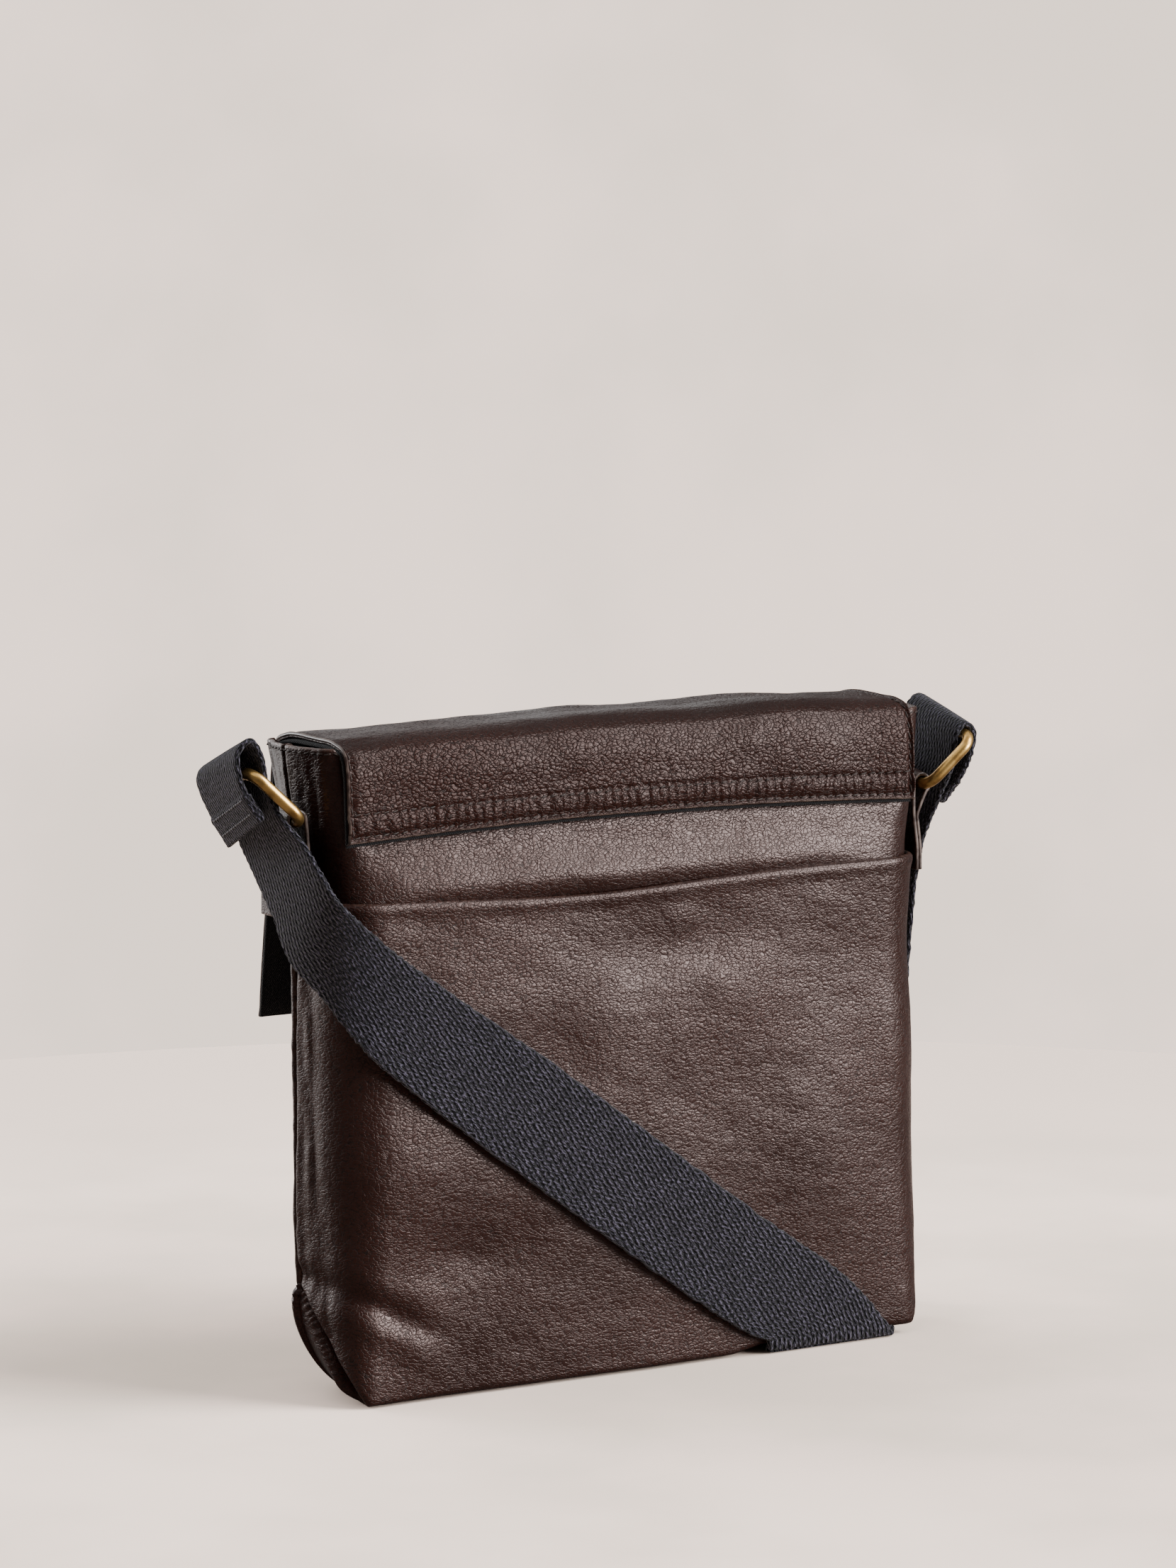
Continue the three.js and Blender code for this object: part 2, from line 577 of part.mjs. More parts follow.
// A leather tab folded round the ring's lower bar: a strip up the side seam and a loop, drawn as
// distance out from the seam and height, carried along the bar. The loop follows the bar's slope.
function tab({ name, end, out, height, slope, swing }) {
  const beside = sectionAt(FRONT_WALL, height, 0);
  const inner = (end === LEFT_END ? beside.left : beside.right) + beside.seam + TAB_CLEARANCE;
  const outer = inner + TAB_THICKNESS;
  const loop = TAB_BORE + TAB_SKIN;
  const shape = new THREE.Shape();
  shape.moveTo(inner, TAB_FOOT);
  shape.lineTo(outer, TAB_FOOT);
  shape.lineTo(outer, height - TAB_NECK);
  shape.absarc(out, height, loop, TAB_LOOP_TURN.from, TAB_LOOP_TURN.to, false);
  shape.lineTo(inner, height - TAB_SHOULDER);
  shape.closePath();
  const hole = new THREE.Path();
  hole.absarc(out, height, TAB_BORE, 0, 2 * Math.PI, true);
  shape.holes.push(hole);
  const geometry = new THREE.ExtrudeGeometry(shape, {
    depth: TAB_WIDTH,
    bevelEnabled: false,
    curveSegments: TAB_LOOP_STEPS,
  });
  geometry.translate(0, 0, -TAB_WIDTH / 2).rotateX(Math.PI / 2);
  if (end === LEFT_END) geometry.rotateZ(Math.PI);
  const place = geometry.getAttribute("position");
  for (let i = 0; i < place.count; i++) {
    const level = place.getZ(i);
    const follow = THREE.MathUtils.smoothstep(level, TAB_FOOT + TAB_FLAT, height - TAB_SHOULDER);
    place.setX(i, place.getX(i) + follow * end * swing * place.getY(i));
    place.setZ(i, level + follow * slope * place.getY(i));
  }
  geometry.computeVertexNormals();
  return namedMesh("tab_" + name, geometry, LEATHER_FINISH);
}

// The strap: both edges as smooth curves, with the thickness across the band between them.
function strap() {
  const edge = (key) =>
    new THREE.CatmullRomCurve3(
      STRAP_RUN.map((row) => new THREE.Vector3(...row[key])),
      false,
      "catmullrom",
      0.5,
    );
  const edgeA = edge("a");
  const edgeB = edge("b");
  const steps = (STRAP_RUN.length - 1) * STRAP_STEPS_PER_RUN;
  const middle = [];
  for (let i = 0; i <= steps; i++) {
    const a = edgeA.getPoint(i / steps);
    const b = edgeB.getPoint(i / steps);
    const line = [];
    for (let j = 0; j <= STRAP_STEPS_ACROSS; j++) {
      const point = new THREE.Vector3().lerpVectors(b, a, j / STRAP_STEPS_ACROSS);
      point.z = Math.max(point.z, STRAP_THICKNESS / 2);
      line.push(point);
    }
    middle.push(line);
  }
  return namedMesh("strap", sheetGeometry(middle, -STRAP_THICKNESS / 2, STRAP_THICKNESS / 2), WEBBING_FINISH);
}

const bag = new THREE.Group();
bag.add(backPanel(), frontPanel(), backPocket(), basePanel());
bag.add(...flapPieces());
bag.add(...RINGS.map(ring), ...RINGS.map(tab));
bag.add(strap());

export default bag;
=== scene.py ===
"""The looks of a small flap bag of grained leather with a woven shoulder strap.

The formulas work in millimetres in the bag's own frame: +X to the right seen from the back of the
bag, -Y out of the back, +Z up, and the floor at z = 0. Meshes are written in metres.
"""

from __future__ import annotations

import logging
import math
from dataclasses import dataclass, field, replace
from enum import Enum
from functools import partial

import bmesh
import bpy
import numpy as np
from mathutils import Matrix, Vector

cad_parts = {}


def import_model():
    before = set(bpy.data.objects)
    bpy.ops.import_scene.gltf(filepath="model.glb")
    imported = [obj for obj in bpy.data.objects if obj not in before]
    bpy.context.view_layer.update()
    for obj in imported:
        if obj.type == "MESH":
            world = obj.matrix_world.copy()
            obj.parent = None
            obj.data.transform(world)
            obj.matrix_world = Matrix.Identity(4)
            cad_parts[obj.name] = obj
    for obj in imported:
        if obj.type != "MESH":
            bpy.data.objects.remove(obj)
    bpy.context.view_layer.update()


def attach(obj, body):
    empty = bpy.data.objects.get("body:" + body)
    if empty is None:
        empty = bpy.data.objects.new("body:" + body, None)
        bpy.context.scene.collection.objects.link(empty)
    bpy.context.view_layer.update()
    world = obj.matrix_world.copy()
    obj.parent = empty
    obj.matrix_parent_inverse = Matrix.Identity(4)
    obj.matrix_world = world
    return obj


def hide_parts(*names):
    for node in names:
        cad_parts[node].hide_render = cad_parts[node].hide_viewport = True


Array = np.ndarray
Piece = bpy.types.Object
Material = bpy.types.Material
Socket = bpy.types.NodeSocket
Node = bpy.types.Node
NodeTree = bpy.types.NodeTree
Pair = tuple[float, float]
Triple = tuple[float, float, float]
Colour = tuple[float, float, float, float]
Inputs = dict[str | int, Socket | float | tuple[float, ...]]

LOG = logging.getLogger("crossbody_bag")
MM = 0.001
BODY = "root"
# Below these, steps of a curve, lengths of vectors and gaps between a mesh's points count as none
TOUCHING = 1e-4
TINY = 1e-9
WELD_DISTANCE = 2e-6
# Waves in a soft noise, the range of their lengths in cells, and the height that they make up
WAVES = 22
WAVE_LENGTHS = (0.75, 1.6)
WAVE_HEIGHT = 0.55
# Places of the close rows by an edge, as shares of their band
CLOSE_ROWS = (0, 0.06, 0.14, 0.24, 0.36, 0.5, 0.66, 0.82)
# Numbers of the colour sockets on a Mix node
MIX_FIRST, MIX_SECOND, MIX_RESULT = 6, 7, 2
# From the low patches of a noise node to its high ones
NOISE_RANGE = (0.3, 0.7)
# First seeds of the noise on the back and front walls
BACK_SEED, FRONT_SEED = 11, 23


class End(Enum):
    """The two ends of the bag, as the sign of x."""

    LEFT = -1
    RIGHT = 1


class Side(Enum):
    """The two faces of the bag, as the sign of y."""

    BACK = -1
    FRONT = 1


class Slot(Enum):
    """Material slots of the record."""

    LEATHER = "leather"
    LINING = "lining"
    BRASS = "brass"
    WEBBING = "webbing"


class Stretch(Enum):
    """The three stretches of a wall's plan, from the middle of the bag to its side seam."""

    FLAT = 0
    CORNER = 1
    GUSSET = 2


class SocketKind(Enum):
    """Kinds of socket on the node groups."""

    VECTOR = "NodeSocketVector"
    FLOAT = "NodeSocketFloat"


# Curves and grids


def smoothstep(value: Array, low: float, high: float) -> Array:
    """Eases from 0 at low to 1 at high with level ends.

    Args:
        value: Where to read the ease.
        low: The value that gives 0.
        high: The value that gives 1.

    Returns:
        The eased share for each value.
    """
    share = np.clip((value - low) / (high - low), 0.0, 1.0)
    return share * share * (3.0 - 2.0 * share)


def hump(value: Array, middle: float, spread: float) -> Array:
    """Bell curve: the exponential of minus the squared distance from the middle over the spread.

    Args:
        value: Where to read the curve.
        middle: Place of the top.
        spread: Distance at which the curve has fallen to about a third.

    Returns:
        Heights from 0 to 1.
    """
    return np.exp(-(((value - middle) / spread) ** 2))


def table_curve(knots: tuple[float, ...], values: tuple[float, ...], at: Array) -> Array:
    """Smooth curve through a table's column.

    Each span is a cubic whose slope at a knot is that of the line between the knot's neighbours,
    and the ends have no curvature.

    Args:
        knots: Rising heights of the rows.
        values: The column's value in each row.
        at: Heights to read.

    Returns:
        The value at each height.
    """
    t, v = np.asarray(knots, float), np.asarray(values, float)
    at = np.clip(at, t[0], t[-1])
    i = np.clip(np.searchsorted(t, at, side="right") - 1, 0, len(t) - 2)
    first, last = i == 0, i == len(t) - 2
    before, after = np.maximum(i - 1, 0), np.minimum(i + 2, len(t) - 1)
    span = t[i + 1] - t[i]
    weight_before = span / 2 / (t[i] - np.where(first, t[i + 1], t[before]))
    weight_after = span / 2 / (np.where(last, t[i], t[after]) - t[i + 1])
    v_before = np.where(first, v[i + 1], v[before])
    v_after = np.where(last, v[i], v[after])
    p = (at - t[i]) / span
    p2, p3 = p * p, p**3
    fall = (
        (1 + weight_before) * p3
        + (-1.5 - 2 * weight_before) * p2
        + (weight_before - 0.5) * p
        + 1
    )
    rise = (-1 - weight_after) * p3 + (1.5 + weight_after) * p2 + 0.5 * p
    return (
        v_before * weight_before * (-p3 + 2 * p2 - p)
        + v[i] * fall
        + v[i + 1] * rise
        + v_after * weight_after * (p3 - p2)
    )


def through_points(points: Array, at: Array, by_distance: bool) -> Array:
    """Smooth curve through points, one span from each point to the next.

    Args:
        points: The points in order, one row each.
        at: Places along the curve, where 2.5 is half way between the third and fourth points.
        by_distance: Whether the slopes allow for uneven distances between the points.

    Returns:
        One point of the curve for each place.
    """
    p = np.vstack([2 * points[0] - points[1], points, 2 * points[-1] - points[-2]])
    i = np.clip(np.floor(at).astype(int), 0, len(points) - 2)
    w = (at - i)[:, None]
    a, b, c, d = p[i], p[i + 1], p[i + 2], p[i + 3]
    if by_distance:
        # The square roots of the three distances
        pairs = ((a, b), (b, c), (c, d))
        near, span, far = (np.sum((v - u) ** 2, 1, keepdims=True) ** 0.25 for u, v in pairs)
        span = np.where(span < TOUCHING, 1.0, span)
        near, far = (np.where(other < TOUCHING, span, other) for other in (near, far))
        slope_b = ((b - a) / near - (c - a) / (near + span) + (c - b) / span) * span
        slope_c = ((c - b) / span - (d - b) / (span + far) + (d - c) / far) * span
    else:
        slope_b, slope_c = (c - a) / 2, (d - b) / 2
    w2, w3 = w * w, w**3
    return (
        (2 * w3 - 3 * w2 + 1) * b
        + (w3 - 2 * w2 + w) * slope_b
        + (3 * w2 - 2 * w3) * c
        + (w3 - w2) * slope_c
    )


def soft_noise(u: Array, v: Array, cell: float, seed: int) -> Array:
    """Smooth random relief: the sum of level waves in random directions, with random phases.

    Args:
        u: First coordinate.
        v: Second coordinate.
        cell: About the distance from a rise to the next hollow.
        seed: Seed of the waves.

    Returns:
        Heights that lie mostly between -1 and 1.
    """
    draw = np.random.default_rng(seed)
    turn, phase = draw.uniform(0, 2 * np.pi, WAVES), draw.uniform(0, 2 * np.pi, WAVES)
    pace = np.pi / (cell * draw.uniform(*WAVE_LENGTHS, WAVES))
    waves = [
        np.cos(k * (u * math.cos(t) + v * math.sin(t)) + p) for k, t, p in zip(pace, turn, phase)
    ]
    return np.sum(waves, axis=0) * WAVE_HEIGHT / math.sqrt(WAVES / 2)


@dataclass(frozen=True)
class Hump:
    """A bell curve of one height, place and width."""

    height: float
    middle: float
    spread: float

    def at(self, value: Array) -> Array:
        """The height at each value."""
        return self.height * hump(value, self.middle, self.spread)


@dataclass(frozen=True)
class Ripple:
    """Soft noise of one height and size.

    Attributes:
        height: Its height, in millimetres.
        cell: About the distance from a rise to the next hollow, in millimetres.
        seed: Seed of its waves.
        wide: What the first coordinate is multiplied by.
        tall: What the second coordinate is multiplied by.
    """

    height: float
    cell: float
    seed: int
    wide: float = 1.0
    tall: float = 1.0

    def at(self, u: Array, v: Array, start: int = 0) -> Array:
        """The height at places u and v, with start added to the seed."""
        return self.height * soft_noise(u * self.wide, v * self.tall, self.cell, self.seed + start)


def unit(vectors: Array) -> Array:
    """Vectors made one long, along the last axis."""
    return vectors / np.maximum(np.linalg.norm(vectors, axis=-1, keepdims=True), TINY)


def grid_normals(grid: Array) -> Array:
    """Unit normals of a grid: the direction along a row crossed with the direction up a column."""
    return unit(np.cross(np.gradient(grid, axis=1), np.gradient(grid, axis=0)))


def lengths(grid: Array, axis: int) -> Array:
    """Length from the grid's first edge to each point, along one axis.

    Args:
        grid: Grid of points.
        axis: 0 for lengths up the columns, 1 for lengths along the rows.

    Returns:
        One length for each point.
    """
    steps = np.linalg.norm(np.diff(grid, axis=axis), axis=-1)
    start = np.zeros_like(np.take(steps, [0], axis=axis))
    return np.cumsum(np.concatenate([start, steps], axis=axis), axis=axis)


def rounded_edge(distance: Array, radius: float) -> Array:
    """How far a face has turned in at a distance from its edge: a quarter circle of the radius."""
    short = np.clip(radius - distance, 0.0, radius)
    return radius - np.sqrt(radius**2 - short**2)


def spread_rows(low: Array, high: Array, near: float, steps: int) -> Array:
    """Heights from a lower to an upper edge, close together within a distance of both edges.

    Args:
        low: Lower edge of each column.
        high: Upper edge of each column.
        near: Width of the close rows at each edge.
        steps: Number of rows between the two close bands.

    Returns:
        An array with one row of heights for each row of the grid.
    """
    close = near * np.array(CLOSE_ROWS)
    middle = np.linspace(0, 1, steps)[:, None] * (high - low - 2 * near) + low + near
    return np.vstack([low + close[:, None], middle, high - close[::-1, None]])


# Meshes


@dataclass(frozen=True)
class Loops:
    """Closed loops of points, one after another, and what each point carries.

    Attributes:
        points: Rows of loops, in millimetres.
        spread: Length across and along the piece at each point, in millimetres.
        edge: Distance to the piece's nearest edge, in millimetres.
        on_rim: Whether a point belongs to a rim.
    """

    points: Array
    spread: Array
    edge: Array
    on_rim: Array

    def object(self, name: str, finishes: list[Material], joined: bool = False) -> Piece:
        """Makes the mesh, with quads between neighbouring loops.

        Args:
            name: Name of the piece.
            finishes: Material of the faces, and after it that of the rims if they differ.
            joined: Whether the last loop joins the first.

        Returns:
            The new object.
        """
        rows, count = self.points.shape[:2]
        index = np.arange(rows * count).reshape(rows, count)
        if joined:
            index = np.vstack([index, index[:1]])
        near, far = index[:-1], index[1:]
        quads = np.stack([near, np.roll(near, -1, 1), np.roll(far, -1, 1), far], -1).reshape(-1, 4)
        mesh = bpy.data.meshes.new(name)
        mesh.from_pydata((self.points.reshape(-1, 3) * MM).tolist(), [], quads.tolist())
        corners = quads.ravel()
        layer = mesh.uv_layers.new(name="spread")
        spread = self.spread.reshape(-1, 2)[corners] * MM
        layer.data.foreach_set("uv", spread.astype(np.float32).ravel())
        edge = mesh.attributes.new("edge_mm", "FLOAT", "POINT")
        edge.data.foreach_set("value", self.edge.astype(np.float32).ravel())
        for finish in finishes:
            mesh.materials.append(finish)
        if len(finishes) > 1:
            rim = self.on_rim.ravel()[quads].sum(1) >= 3
            mesh.polygons.foreach_set("material_index", rim.astype(np.int32))
        return finished_object(name, mesh)


def finished_object(name: str, mesh: bpy.types.Mesh) -> Piece:
    """Merges a mesh's doubled points, shades it smooth and puts it in the scene.

    Args:
        name: Name of the piece.
        mesh: The mesh, with its place in its points.

    Returns:
        The new object, at the origin.
    """
    work = bmesh.new()
    work.from_mesh(mesh)
    bmesh.ops.remove_doubles(work, verts=work.verts, dist=WELD_DISTANCE)
    work.to_mesh(mesh)
    work.free()
    mesh.polygons.foreach_set("use_smooth", np.ones(len(mesh.polygons), bool))
    piece = bpy.data.objects.new(name, mesh)
    bpy.context.scene.collection.objects.link(piece)
    return piece


def skin(face: Array, thickness: Array | float, bulge: float, steps: int = 6) -> Loops:
    """A closed sheet with round rims under an outer face.

    The inner face lies the thickness below the outer one along its normals. On all four sides half
    an ellipse joins the two faces: its height is the thickness, and it stands out by the bulge.

    Args:
        face: Grid of the outer face, whose normal is along a row crossed with up a column.
        thickness: Thickness of the sheet, for the whole face or for each point.
        bulge: How far the rims stand out beyond the face's edges.
        steps: Steps round a rim.

    Returns:
        The loops of the sheet.
    """
    rows, columns = face.shape[:2]
    thickness = np.broadcast_to(np.asarray(thickness, float), (rows, columns))[..., None]
    reach = grid_normals(face) * thickness / 2
    middle = face - reach
    turns = (np.pi * np.arange(1, steps) / steps)[None, :, None]
    cos, sin = np.cos(turns), np.sin(turns)
    right_way, left_way = unit(face[:, -1:] - face[:, -2:-1]), unit(face[:, :1] - face[:, 1:2])
    right = middle[:, -1:] + reach[:, -1:] * cos + right_way * bulge * sin
    left = middle[:, :1] - reach[:, :1] * cos + left_way * bulge * sin
    loops = np.concatenate([face, right, (middle - reach)[:, ::-1], left], 1)
    there, turned = np.arange(columns), np.ones(steps - 1, int)
    place = np.concatenate([there, turned * (columns - 1), there[::-1], turned * 0])
    down, up = unit(face[0] - face[1])[place], unit(face[-1] - face[-2])[place]
    count = steps // 2
    caps = (np.pi / steps * np.arange(1, count + 1))[:, None, None]

    def cap(row: int, way: Array) -> Array:
        """Loops that close a row: they shrink to the middle of the sheet and move out."""
        centre = middle[row][place]
        return centre + (loops[row] - centre) * np.cos(caps) + way * bulge * np.sin(caps)

    on_right = slice(columns, columns + steps - 1)
    on_left = slice(2 * columns + steps - 1, None)
    across, along = lengths(face, 1), lengths(face, 0)
    spread = np.stack([across, along], -1)[:, place]
    round_rim = np.arange(1, steps) / steps * thickness[:, -1] * np.pi / 2
    spread[:, on_right, 0] += round_rim
    spread[:, on_left, 0] -= round_rim[:, ::-1]
    edge = np.minimum.reduce([across, across[:, -1:] - across, along, along[-1:] - along])
    rim = np.zeros((rows, len(place)), bool)
    rim[:, on_right] = rim[:, on_left] = True
    ends = ((count, count), (0, 0))
    return Loops(
        np.concatenate([cap(0, down)[::-1], loops, cap(-1, up)]),
        np.pad(spread, (*ends, (0, 0)), mode="edge"),
        np.pad(edge[:, place], ends),
        np.pad(rim, ends, constant_values=True),
    )


@dataclass(frozen=True)
class Seam:
    """A row of stitches along a line on a surface.

    Attributes:
        line: Points of the line, in millimetres.
        normals: Normals of the surface along it.
        pitch: Length from one stitch to the next.
        thread: Radius of the thread.
        slant: Angle of each stitch to the line, in degrees.
        filled: Half the length of a stitch, in pitches.
        arch: Height of a stitch's middle, in radii of the thread.
        dip: How far its ends lie below that, in radii.
        flatness: Width of the thread over its height.
        tip: Squared size of a stitch's ends, where its middle has 1.
        step: Length over which the line's direction is measured.
    """

    line: Array
    normals: Array
    pitch: float = 3.2
    thread: float = 0.3
    slant: float = 11.0
    filled: float = 0.44
    arch: float = 0.55
    dip: float = 1.3
    flatness: float = 1.15
    tip: float = 0.05
    step: float = 0.3
    rings: int = 7
    sides: int = 6

    def read(self, values: Array, at: Array) -> Array:
        """Reads what the points of the line carry at lengths along it.

        Args:
            values: Three numbers for each point of the line.
            at: Lengths from the start of the line.

        Returns:
            Three numbers for each length.
        """
        run = lengths(self.line[None], 1)[0]
        return np.stack([np.interp(at, run, values[:, k]) for k in range(3)], -1)

    def points(self) -> Array:
        """Stitches as short arched threads: a circle carried along an arc that dips at both ends.

        Returns:
            Points of all stitches, in stitches, rings of a stitch and points of a ring.
        """
        run = lengths(self.line[None], 1)[0, -1]
        count = max(1, int(run / self.pitch))
        middles = (np.arange(count) + 0.5) * run / count
        place, up = self.read(self.line, middles), unit(self.read(self.normals, middles))
        ahead, behind = (self.read(self.line, middles + way * self.step) for way in (1, -1))
        along = unit(ahead - behind)
        aside = unit(np.cross(up, along))
        cos, sin = math.cos(math.radians(self.slant)), math.sin(math.radians(self.slant))
        along, aside = along * cos + aside * sin, aside * cos - along * sin
        rings = np.linspace(-1, 1, self.rings)
        turns = np.linspace(0, 2 * np.pi, self.sides, endpoint=False)
        size = self.thread * np.sqrt(np.clip(1 + self.tip - rings**4, self.tip, 1))
        lift = self.thread * (self.arch - self.dip * rings**4)
        high = lift[:, None] + size[:, None] * np.sin(turns)
        wide = size[:, None] * np.cos(turns) * self.flatness
        shape = (
            along[:, None, None] * (rings * self.pitch * self.filled)[None, :, None, None]
            + up[:, None, None] * high[None, :, :, None]
            + aside[:, None, None] * wide[None, :, :, None]
        )
        return place[:, None, None] + shape


def stitch_object(name: str, seams: list[Seam], finish: Material) -> Piece:
    """One mesh for the stitches of several seams.

    Args:
        name: Name of the piece.
        seams: The seams.
        finish: Material of the thread.

    Returns:
        The new object.
    """
    points = np.concatenate([seam.points() for seam in seams])
    count, rings, sides = points.shape[:3]
    index = np.arange(count * rings * sides).reshape(count, rings, sides)
    near, far = index[:, :-1], index[:, 1:]
    quads = np.stack([near, far, np.roll(far, -1, 2), np.roll(near, -1, 2)], -1).reshape(-1, 4)
    ends = np.concatenate([index[:, 0], index[:, -1, ::-1]])
    mesh = bpy.data.meshes.new(name)
    mesh.from_pydata((points.reshape(-1, 3) * MM).tolist(), [], quads.tolist() + ends.tolist())
    mesh.materials.append(finish)
    return finished_object(name, mesh)


def dress(piece: Piece, slot: Slot, *nodes: str) -> None:
    """Hands a piece to the frame and reports it.

    Args:
        piece: The finished piece.
        slot: Material slot that it takes its finish from; not used.
        nodes: Solids that it stands for.
    """
    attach(piece, BODY)
    if nodes:
        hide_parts(*nodes)
    LOG.info("%s: %d faces", piece.name, len(piece.data.polygons))


# Finishes


class NodeKit:
    """Adds and links the nodes of one tree."""

    def __init__(self, tree: NodeTree) -> None:
        """Keeps the tree that the nodes go into."""
        self.tree = tree

    def fill(self, node: Node, inputs: Inputs) -> Node:
        """Links a node's inputs, or sets them where the source is a plain value.

        Args:
            node: The node.
            inputs: Source of each input, by its name or number.

        Returns:
            The same node.
        """
        for key, source in inputs.items():
            if isinstance(source, Socket):
                self.tree.links.new(source, node.inputs[key])
            else:
                node.inputs[key].default_value = source
        return node

    def add(self, kind: str, inputs: Inputs | None = None, **settings: object) -> Node:
        """Adds a node.

        Args:
            kind: Node type.
            inputs: Source of each input, by its name or number.
            settings: Properties to set on it.

        Returns:
            The node.
        """
        node = self.tree.nodes.new(kind)
        for key, value in settings.items():
            setattr(node, key, value)
        return self.fill(node, inputs or {})

    def math(self, operation: str, *values: Socket | float) -> Socket:
        """One arithmetic step on values."""
        return self.add("ShaderNodeMath", dict(enumerate(values)), operation=operation).outputs[0]

    def vector(self, operation: str, first: Socket, second: Socket | Triple) -> Socket:
        """One arithmetic step on vectors."""
        inputs = {0: first, 1: second}
        return self.add("ShaderNodeVectorMath", inputs, operation=operation).outputs["Vector"]

    def length(self, vector: Socket) -> Socket:
        """Length of a vector."""
        return self.add("ShaderNodeVectorMath", {0: vector}, operation="LENGTH").outputs["Value"]

    def scaled(self, vector: Socket, factor: Socket | float) -> Socket:
        """A vector times a number."""
        inputs = {0: vector, "Scale": factor}
        return self.add("ShaderNodeVectorMath", inputs, operation="SCALE").outputs["Vector"]

    def split(self, vector: Socket) -> list[Socket]:
        """The three numbers of a vector."""
        return list(self.add("ShaderNodeSeparateXYZ", {0: vector}).outputs)

    def remap(
        self, value: Socket, low: float, high: float, to_low: float = 0.0, to_high: float = 1.0
    ) -> Socket:
        """Eases a value from one range to another.

        Args:
            value: The value.
            low: Start of its range.
            high: End of its range.
            to_low: What the start becomes.
            to_high: What the end becomes.

        Returns:
            The new value.
        """
        ends = {"From Min": low, "From Max": high, "To Min": to_low, "To Max": to_high}
        node = self.add("ShaderNodeMapRange", interpolation_type="SMOOTHSTEP")
        return self.fill(node, {"Value": value, **ends}).outputs["Result"]

    def blend(self, share: Socket, first: Socket | Colour, second: Socket | Colour) -> Socket:
        """Mixes two colours, by the share of the second."""
        inputs = {0: share, MIX_FIRST: first, MIX_SECOND: second}
        return self.add("ShaderNodeMix", inputs, data_type="RGBA").outputs[MIX_RESULT]

    def clouds(self, vector: Socket, scale: float, detail: float) -> Node:
        """Noise texture at a place."""
        return self.add("ShaderNodeTexNoise", {"Vector": vector, "Scale": scale, "Detail": detail})

    def noise(self, vector: Socket, scale: float, detail: float = 2.0) -> Socket:
        """Cloudy noise from 0 to 1 at a place."""
        return self.clouds(vector, scale, detail).outputs["Fac"]

    def shaken(self, vector: Socket, scale: float, detail: float, reach: float) -> Socket:
        """Moves a place by cloudy noise.

        Args:
            vector: The place.
            scale: Scale of the noise.
            detail: Detail of the noise.
            reach: Length that the whole range of the noise stands for.

        Returns:
            The moved place.
        """
        colour = self.clouds(vector, scale, detail).outputs["Color"]
        shift = self.scaled(self.vector("SUBTRACT", colour, (0.5, 0.5, 0.5)), reach)
        return self.vector("ADD", vector, shift)

    def cells(self, vector: Socket, feature: str) -> Socket:
        """Distance in a field of random cells of about unit size."""
        inputs = {"Vector": vector, "Scale": 1.0}
        return self.add("ShaderNodeTexVoronoi", inputs, feature=feature).outputs["Distance"]


@dataclass(frozen=True)
class Effect:
    """What all node groups have: a name, and a tree that is made once."""

    name: str

    def tree(self) -> NodeTree:
        """The group's tree, which is made the first time."""
        return bpy.data.node_groups.get(self.name) or self.make()

    def make(self) -> NodeTree:
        """Makes the tree."""
        raise NotImplementedError

    def start(
        self, place: str, numbers: tuple[str, ...], outputs: tuple[str, ...]
    ) -> tuple[NodeKit, dict[str, Socket], Node]:
        """Starts the tree with its sockets.

        Args:
            place: Name of the input that is a vector.
            numbers: Names of the inputs that are numbers.
            outputs: Names of the outputs, which are numbers.
        """
        tree = bpy.data.node_groups.new(self.name, "ShaderNodeTree")
        number, make = SocketKind.FLOAT.value, tree.interface.new_socket
        make(place, in_out="INPUT", socket_type=SocketKind.VECTOR.value)
        for key in numbers:
            make(key, in_out="INPUT", socket_type=number)
        for key in outputs:
            make(key, in_out="OUTPUT", socket_type=number)
        kit = NodeKit(tree)
        source = kit.add("NodeGroupInput")
        given = {key: source.outputs[key] for key in (place, *numbers)}
        return kit, given, kit.add("NodeGroupOutput")


